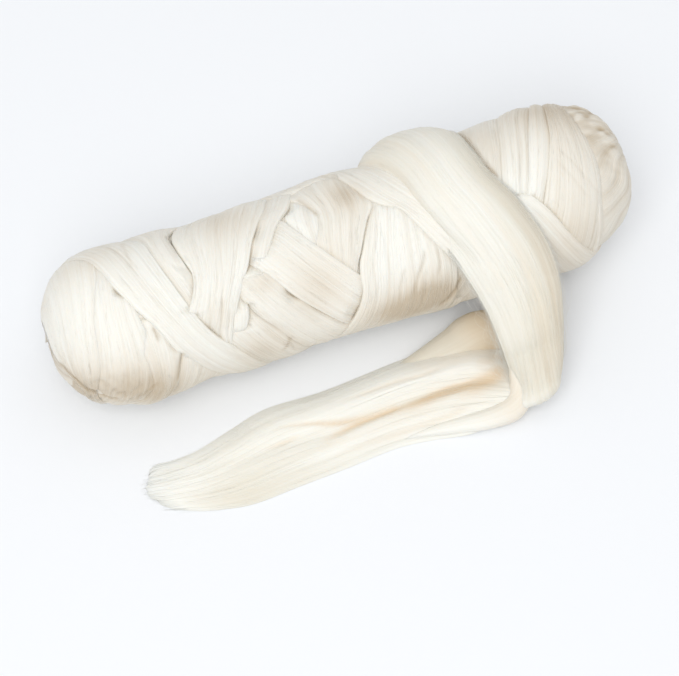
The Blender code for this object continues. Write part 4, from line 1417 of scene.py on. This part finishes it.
# ---------------------------------------------------------------- strands


def grid_at(grid, u, v):
    """Points between those of a grid."""
    i = np.clip(u.astype(int), 0, grid.shape[0] - 2)
    j = np.clip(v.astype(int), 0, grid.shape[1] - 2)
    s, t = (np.clip(u - i, 0.0, 1.0))[..., None], (np.clip(v - j, 0.0, 1.0))[..., None]
    near = grid[i, j] * (1.0 - s) + grid[i + 1, j] * s
    far = grid[i, j + 1] * (1.0 - s) + grid[i + 1, j + 1] * s
    return near * (1.0 - t) + far * t


def grid_normals(grid, outside):
    """Normals of a grid, turned to the side that a rough direction outside at each point tells."""
    normals = unit(np.cross(np.gradient(grid, axis=0), np.gradient(grid, axis=1)))
    facing = np.einsum("ijk,ijk->ij", normals, outside)
    return normals * np.where(facing < 0.0, -1.0, 1.0)[..., None]


def laid_strands(rng, grid, normals, count, length, lift, share_range=(0.03, 0.97), points=5):
    """Paths of strands that follow a grid along its first direction, a little off it."""
    steps = np.linalg.norm(np.gradient(grid[:, grid.shape[1] // 2], axis=0), axis=1).mean()
    rows, columns = grid.shape[0] - 1.0, grid.shape[1] - 1.0
    t = np.linspace(-0.5, 0.5, points)[None, :]
    start = rng.uniform(0.0, rows, (count, 1))
    size = rng.uniform(0.5, 1.4, (count, 1)) * length / steps
    share = rng.uniform(*share_range, (count, 1)) * columns
    drift = rng.normal(0.0, 0.016, (count, 1)) * columns
    wave = rng.normal(0.0, 0.006, (count, 1)) * columns
    u = np.clip(start + t * size, 0.0, rows)
    v = np.clip(share + t * drift + wave * np.sin(7.0 * t + start), 0.2, columns - 0.2)
    height = rng.uniform(0.1, 1.0, (count, 1)) ** 2 * lift * np.cos(math.pi * t) - 0.03
    return grid_at(grid, u, v) + grid_at(normals, u, v) * height[..., None]


def strand_bodies(paths, radius, rng, tone):
    """Closed three-sided strands round many paths, as one body, with their tone spread a little."""
    count, points = paths.shape[:2]
    along = unit(np.gradient(paths, axis=1))
    steep = np.abs(along[:, :, 2:3]).mean(axis=1, keepdims=True)
    helper = np.where(steep < 0.6, (0.0, 0.0, 1.0), (1.0, 0.0, 0.0))
    first = unit(np.cross(along, helper))
    second = np.cross(along, first)
    taper = 1.0 - 0.75 * np.abs(np.linspace(-1.0, 1.0, points)) ** 3
    size = radius * rng.uniform(0.7, 1.3, (count, 1)) * taper[None, :]
    rings = np.empty((count, points, 3, 3))
    for k in range(3):
        angle = math.tau * k / 3.0
        rings[:, :, k] = paths + size[..., None] * (math.cos(angle) * first + math.sin(angle) * second)
    rings[..., 2] = np.maximum(rings[..., 2], 0.02)
    index = np.arange(rings.size // 3).reshape(count, points, 3)
    following = np.roll(index, -1, axis=2)
    quads = (index[:, :-1], following[:, :-1], following[:, 1:], index[:, 1:])
    quads = np.stack(quads, axis=-1).reshape(-1, 4)
    ends = np.concatenate((index[:, 0, ::-1], index[:, -1]))
    flat = rings.reshape(-1, 3)
    a, b, c, d = (flat[quads[:24, i]] for i in range(4))
    outwards = 0.25 * (a + b + c + d) - np.repeat(paths.reshape(-1, 3)[:8], 3, axis=0)
    if np.einsum("ij,ij->", np.cross(b - a, d - a), outwards) < 0.0:
        quads, ends = quads[:, ::-1], ends[:, ::-1]
    lay = np.zeros((len(flat), 3))
    lay[:, 0] = np.repeat(rng.uniform(0.0, 900.0, count), points * 3)
    lay[:, 1] = np.tile(np.repeat(np.arange(points) * 3.0, 3), count)
    shade = np.repeat(tone + np.clip(rng.normal(0.0, 0.2, count), -0.3, 0.5), points * 3)
    return flat, quads, ends, lay, shade, np.zeros(len(flat))


# ---------------------------------------------------------------- materials


def add_node(tree, kind, values=None, links=None, **settings):
    """Adds a node with its settings, its sockets' values and its inputs' sources."""
    node = tree.nodes.new(kind)
    for key, value in settings.items():
        setattr(node, key, value)
    for key, value in (values or {}).items():
        node.inputs[key].default_value = value
    for key, source in (links or {}).items():
        tree.links.new(source, node.inputs[key])
    return node


def add_sum(tree, operation, values, links):
    """Adds a node that works out a number, and gives its result."""
    return add_node(tree, "ShaderNodeMath", values, links, operation=operation).outputs[0]


def combed_wool(name, colours, beige, deep, relief=1.0):
    """Undyed combed wool: matt and soft, with a satin streak along its fibres.

    Its bundles are 0.4 to 5 mm wide and much longer, and go by their tone, painted shade and painted light
    included, from pale where the wool is thin (-1) over ivory (0) and beige (1) to dun (2). Creases and
    gaps are painted towards the deep colour as painted shade, for the light that bounces round inside
    them. A wool fibre is 0.02 mm thick, too fine to show, so the finest streaks are drawn 0.4 mm wide.
    Relief says how strongly the streaks and the bump show, which is less where the wool lies loose.
    """
    made = bpy.data.materials.new(name)
    made.use_nodes = True
    tree = made.node_tree
    tree.nodes.clear()
    lay = add_node(tree, "ShaderNodeAttribute", attribute_name="lay").outputs["Vector"]
    tone = add_node(tree, "ShaderNodeAttribute", attribute_name="tone").outputs["Fac"]
    painted_shade = add_node(tree, "ShaderNodeAttribute", attribute_name="painted_shade").outputs["Fac"]
    streaks = []
    for across, along, detail in ((5.0, 150.0, 1.0), (0.9, 90.0, 2.0), (0.4, 50.0, 1.0)):
        scaled = add_node(
            tree, "ShaderNodeMapping", {"Scale": (1.0 / across, 1.0 / along, 1.0)}, {"Vector": lay},
            vector_type="POINT",
        )
        noise = add_node(
            tree, "ShaderNodeTexNoise", {"Scale": 1.0, "Detail": detail, "Roughness": 0.6},
            {"Vector": scaled.outputs["Vector"]},
        )
        streaks.append(noise.outputs["Fac"])
    broad, thin = (add_sum(tree, "SUBTRACT", {1: 0.5}, {0: streak}) for streak in streaks[:2])
    shade = add_sum(tree, "MULTIPLY_ADD", {1: 0.8}, {0: broad, 2: tone})
    shade = add_sum(tree, "MULTIPLY_ADD", {1: 1.2 * relief}, {0: thin, 2: shade})
    place = add_node(
        tree, "ShaderNodeMapRange", {"From Min": -1.0, "From Max": 2.0}, {"Value": shade}
    ).outputs["Result"]
    wool = add_node(tree, "ShaderNodeValToRGB", links={"Fac": place})
    stops = wool.color_ramp.elements
    stops[0].color, stops[1].color = colours.pale, colours.dun
    stops.new(1.0 / 3.0).color = colours.ivory
    stops.new(2.0 / 3.0).color = beige
    # Painted shade: the wool is mixed towards the deep colour by how far inside a crease or gap it lies.
    inside = add_sum(tree, "MULTIPLY", {1: 0.9}, {0: painted_shade})
    warm = add_node(
        tree, "ShaderNodeMix", {7: deep}, {"Factor": inside, 6: wool.outputs["Color"]}, data_type="RGBA"
    )
    rise = add_sum(tree, "MULTIPLY_ADD", {1: 0.35}, {0: streaks[2], 2: streaks[1]})
    bump = add_node(
        tree, "ShaderNodeBump", {"Strength": 0.9 * relief, "Distance": 0.0004}, {"Height": rise}
    ).outputs["Normal"]
    shader = add_node(
        tree, "ShaderNodeBsdfPrincipled",
        {
            "Roughness": 0.62, "IOR": 1.45, "Specular IOR Level": 0.25, "Sheen Weight": 0.15,
            "Sheen Roughness": 0.4, "Sheen Tint": (1.0, 0.96, 0.86, 1.0), "Subsurface Weight": 0.2,
            "Subsurface Radius": (1.0, 0.85, 0.7), "Subsurface Scale": 0.0008,
        },
        {"Base Color": warm.outputs[2], "Normal": bump},
    )
    add_node(tree, "ShaderNodeOutputMaterial", links={"Surface": shader.outputs["BSDF"]})
    return made


def pale_paper(colours):
    """Matt white paper, which gives a soft even ground with no gloss."""
    made = bpy.data.materials.new("matt_paper")
    made.use_nodes = True
    shader = made.node_tree.nodes["Principled BSDF"]
    shader.inputs["Base Color"].default_value = colours.floor
    shader.inputs["Roughness"].default_value = 0.95
    shader.inputs["Specular IOR Level"].default_value = 0.1
    return made


def wool_finish(name):
    """A wool material by its name, made once."""
    colours = bpy.context.scene.roving_colours
    if name in bpy.data.materials:
        return bpy.data.materials[name]
    if name == "combed_wool_loose":
        return combed_wool(name, colours, colours.flaxen, colours.amber, 0.55)
    return combed_wool(name, colours, colours.beige, colours.groove)


# ---------------------------------------------------------------- operators


def axis_height_mm():
    """The roll's axis height in millimetres."""
    return bpy.context.scene.roving_sizes.axis_height / MM


def finished(report, pieces):
    """Reports the pieces made, and stops if one has no faces."""
    for piece in pieces:
        if not piece.data.polygons:
            raise RuntimeError(f"{piece.name} has no faces")
    report({"INFO"}, ", ".join(piece.name for piece in pieces))
    return {"FINISHED"}


class ROVING_OT_core(bpy.types.Operator):
    """Builds the core and the two turned-in ends of the roll"""

    bl_idname = "roving.core"
    bl_label = "Core and Ends"

    def execute(self, context):
        sizes = context.scene.roving_sizes
        finish = wool_finish("combed_wool_wound")
        bodies = [core_body(axis_height_mm(), sizes.core_depth / MM)]
        core = make_piece("roll_core", bodies, finish, "wound_roll")
        ends = [
            make_piece(name, [end_body(side, axis_height_mm(), seed)], finish, "wound_roll")
            for name, side, seed in (("turned_end_left", -1.0, 3), ("turned_end_right", 1.0, 8))
        ]
        return finished(self.report, [core] + ends)


class ROVING_OT_windings(bpy.types.Operator):
    """Builds the windings of the roll, the layer under them and the strands that lie on them"""

    bl_idname = "roving.windings"
    bl_label = "Windings"

    def execute(self, context):
        sizes = context.scene.roving_sizes
        finish = wool_finish("combed_wool_wound")
        windings = all_windings()
        layers, faces = {}, []
        for winding in windings:
            body, outer = winding_body(winding, windings, axis_height_mm())
            layers.setdefault(layer_of(winding), []).append(body)
            if layer_of(winding) != "under_windings":
                faces.append(outer)
        pieces = [
            make_piece(name, bodies, finish, "wound_roll") for name, bodies in layers.items()
        ]
        rng = np.random.default_rng(11)
        areas = np.array([len(face) * face.shape[1] for face in faces], dtype=float)
        paths = []
        for face, share in zip(faces, areas / areas.sum()):
            x = face[..., 0]
            middle = np.stack((x, bend_at(x), np.full_like(x, axis_height_mm())), axis=-1)
            normals = grid_normals(face, face - middle)
            number = max(8, round(sizes.roll_strands * share))
            paths.append(laid_strands(
                rng, face, normals, number, length=26.0, lift=0.35, share_range=(0.06, 0.94), points=4,
            ))
        strands = strand_bodies(np.concatenate(paths), sizes.strand_radius / MM, rng, tone=0.3)
        pieces.append(make_piece("roll_strands", [strands], finish, "wound_roll"))
        return finished(self.report, pieces)


class ROVING_OT_loose_end(bpy.types.Operator):
    """Builds the loose end with its strands and wisps"""

    bl_idname = "roving.loose_end"
    bl_label = "Loose End"

    def execute(self, context):
        sizes = context.scene.roving_sizes
        finish = wool_finish("combed_wool_loose")
        body, outer, inner = loose_body(all_windings(), axis_height_mm())
        # Both bundles are painted amber near the fold as painted shade; the hidden one is also dun as
        # painted shade of the hollow under the roll.
        inside_fold = bundle_body(FOLD_BUNDLE, seed=61, own_tone=0.15, dark=0.28)
        behind = bundle_body(HIDDEN_BUNDLE, seed=83, own_tone=1.1, dark=0.5)
        band = make_piece("loose_roving", [body, inside_fold, behind], finish, "loose_end")
        rng = np.random.default_rng(23)
        middle = 0.5 * (outer + inner)
        radius = sizes.strand_radius / MM
        paths = []
        for face in (outer, inner):
            normals = grid_normals(face, face - middle)
            count = sizes.loose_strands // 2
            paths.append(laid_strands(rng, face, normals, count, length=34.0, lift=0.5))
        strands = strand_bodies(np.concatenate(paths), radius, rng, tone=0.15)
        laid = make_piece("loose_strands", [strands], finish, "loose_end")
        beside = self.side_wisps(rng, outer, inner, sizes.wisps)
        standing = strand_bodies(beside, WISP_THINNER * radius, rng, tone=0.1)
        past_tip = self.tip_wisps(rng, round(TIP_WISPS * sizes.wisps))
        last = strand_bodies(past_tip, WISP_THINNER * radius, rng, tone=-0.9)
        fuzz = make_piece("loose_wisps", [standing, last], finish, "loose_end")
        return finished(self.report, [band, laid, fuzz])

    @staticmethod
    def side_wisps(rng, outer, inner, count):
        """Strands that stand off the band's two sides in low arcs."""
        sides = rng.integers(0, 2, (count, 1))
        rows = outer.shape[0] - 1.0
        t = np.linspace(0.0, 1.0, 8)[None, :]
        start = 20.0 + 150.0 * rng.uniform(0.0, 1.0, (count, 1))
        length = rng.uniform(10.0, 34.0, (count, 1))
        u = np.clip(start + t * length, 0.0, rows)
        column = np.where(sides == 0, 1.5, outer.shape[1] - 2.5) + 0.0 * t
        edge = 0.5 * (grid_at(outer, u, column) + grid_at(inner, u, column))
        halfway = np.full_like(column, ACROSS_TOP // 2 - 1.0)
        centre = 0.5 * (grid_at(outer, u, halfway) + grid_at(inner, u, halfway))
        away = unit(edge - centre)
        longer = 1.0 + 2.6 * np.exp(-(((start - 140.0) / 14.0) ** 2)) * (sides == 0)
        reach = longer * rng.exponential(1.0, (count, 1)) * np.sin(math.pi * t) ** 1.2 - 0.4
        lift = rng.normal(0.0, 0.8, (count, 1)) * np.sin(math.pi * t)
        return edge + away * reach[..., None] + np.array((0.0, 0.0, 1.0)) * lift[..., None]

    @staticmethod
    def tip_wisps(rng, count):
        """Strands that run on past the tip and lie thinner and thinner on the surface."""
        rows = np.array(FREE)[::-1]
        t = np.linspace(0.0, 1.0, 5)[None, :]
        share = rng.uniform(0.02, 0.98, (count, 1))
        end_x = -118.5 + 9.0 * (2.0 * share - 1.0) ** 2 + rng.exponential(5.0, (count, 1))
        x = end_x + (1.0 - t) * rng.uniform(12.0, 30.0, (count, 1))
        near, far = (np.interp(x, rows[:, 0], rows[:, i]) for i in (1, 4))
        y = near + (far - near) * share + rng.normal(0.0, 1.0, (count, 1)) * t
        thick = np.interp(x, rows[:, 0], rows[:, 7])
        z = 0.06 + thick * np.sin(math.pi * share) * rng.uniform(0.3, 1.0, (count, 1))
        return np.stack((x, y, z), axis=-1)


class ROVING_OT_stage(bpy.types.Operator):
    """Sets up the floor, the soft light and the camera"""

    bl_idname = "roving.stage"
    bl_label = "Stage"

    def execute(self, context):
        bpy.ops.object.select_all(action="DESELECT")
        bpy.ops.mesh.primitive_plane_add(size=9.0, location=(0.0, 0.0, 0.0))
        floor = context.object
        floor.name = "floor"
        floor.data.materials.append(pale_paper(context.scene.roving_colours))
        scene = context.scene
        scene.view_settings.view_transform = "Standard"
        world = bpy.data.worlds.new("tent")
        world.use_nodes = True
        background = world.node_tree.nodes["Background"]
        background.inputs["Color"].default_value = (0.99, 0.995, 1.0, 1.0)
        background.inputs["Strength"].default_value = TENT_STRENGTH
        scene.world = world
        for name, spot, size, power in LAMPS:
            lamp = bpy.data.lights.new(name, "AREA")
            lamp.size = size
            lamp.energy = power
            made = bpy.data.objects.new(name, lamp)
            made.location = spot
            made.rotation_euler = (-Vector(spot)).to_track_quat("-Z", "Y").to_euler()
            scene.collection.objects.link(made)
        self.add_camera(scene)
        return {"FINISHED"}

    @staticmethod
    def add_camera(scene):
        """The camera looks down at the roll from the front left."""
        azimuth, elevation = math.radians(CAMERA_AZIMUTH), math.radians(CAMERA_ELEVATION)
        level = math.cos(elevation)
        back = Vector((math.sin(azimuth) * level, -math.cos(azimuth) * level, math.sin(elevation)))
        right = Vector((math.cos(azimuth), math.sin(azimuth), 0.0))
        up = back.cross(right)
        lens = bpy.data.cameras.new("camera")
        lens.lens = CAMERA_LENS
        lens.sensor_width = 36.0
        lens.sensor_fit = "HORIZONTAL"
        lens.clip_start = 0.05
        camera = bpy.data.objects.new("camera", lens)
        turned = Matrix((right, up, back)).transposed().to_4x4()
        camera.matrix_world = Matrix.Translation(Vector(CAMERA_TARGET) + back * CAMERA_DISTANCE) @ turned
        scene.collection.objects.link(camera)
        scene.camera = camera


class ROVING_PT_panel(bpy.types.Panel):
    """The roving's operators and settings"""

    bl_idname = "ROVING_PT_panel"
    bl_label = "Wool Roving"
    bl_space_type = "VIEW_3D"
    bl_region_type = "UI"
    bl_category = "Roving"

    def draw(self, context):
        for operator in OPERATORS:
            self.layout.operator(operator.bl_idname)
        for group in (context.scene.roving_sizes, context.scene.roving_colours):
            for key in group.__annotations__:
                self.layout.prop(group, key)


OPERATORS = (ROVING_OT_core, ROVING_OT_windings, ROVING_OT_loose_end, ROVING_OT_stage)
CLASSES = (ROVING_PG_sizes, ROVING_PG_colours) + OPERATORS + (ROVING_PT_panel,)


def register():
    """Adds the classes and the scene's two groups of settings."""
    for item in CLASSES:
        bpy.utils.register_class(item)
    bpy.types.Scene.roving_sizes = bpy.props.PointerProperty(type=ROVING_PG_sizes)
    bpy.types.Scene.roving_colours = bpy.props.PointerProperty(type=ROVING_PG_colours)


def unregister():
    """Takes away what register adds."""
    del bpy.types.Scene.roving_sizes
    del bpy.types.Scene.roving_colours
    for item in reversed(CLASSES):
        bpy.utils.unregister_class(item)


def main():
    """Builds the roving."""
    register()
    bpy.ops.object.select_all(action="DESELECT")
    bpy.ops.roving.core()
    bpy.ops.roving.windings()
    bpy.ops.roving.loose_end()
    bpy.ops.roving.stage()


if __name__ == "__main__":
    main()
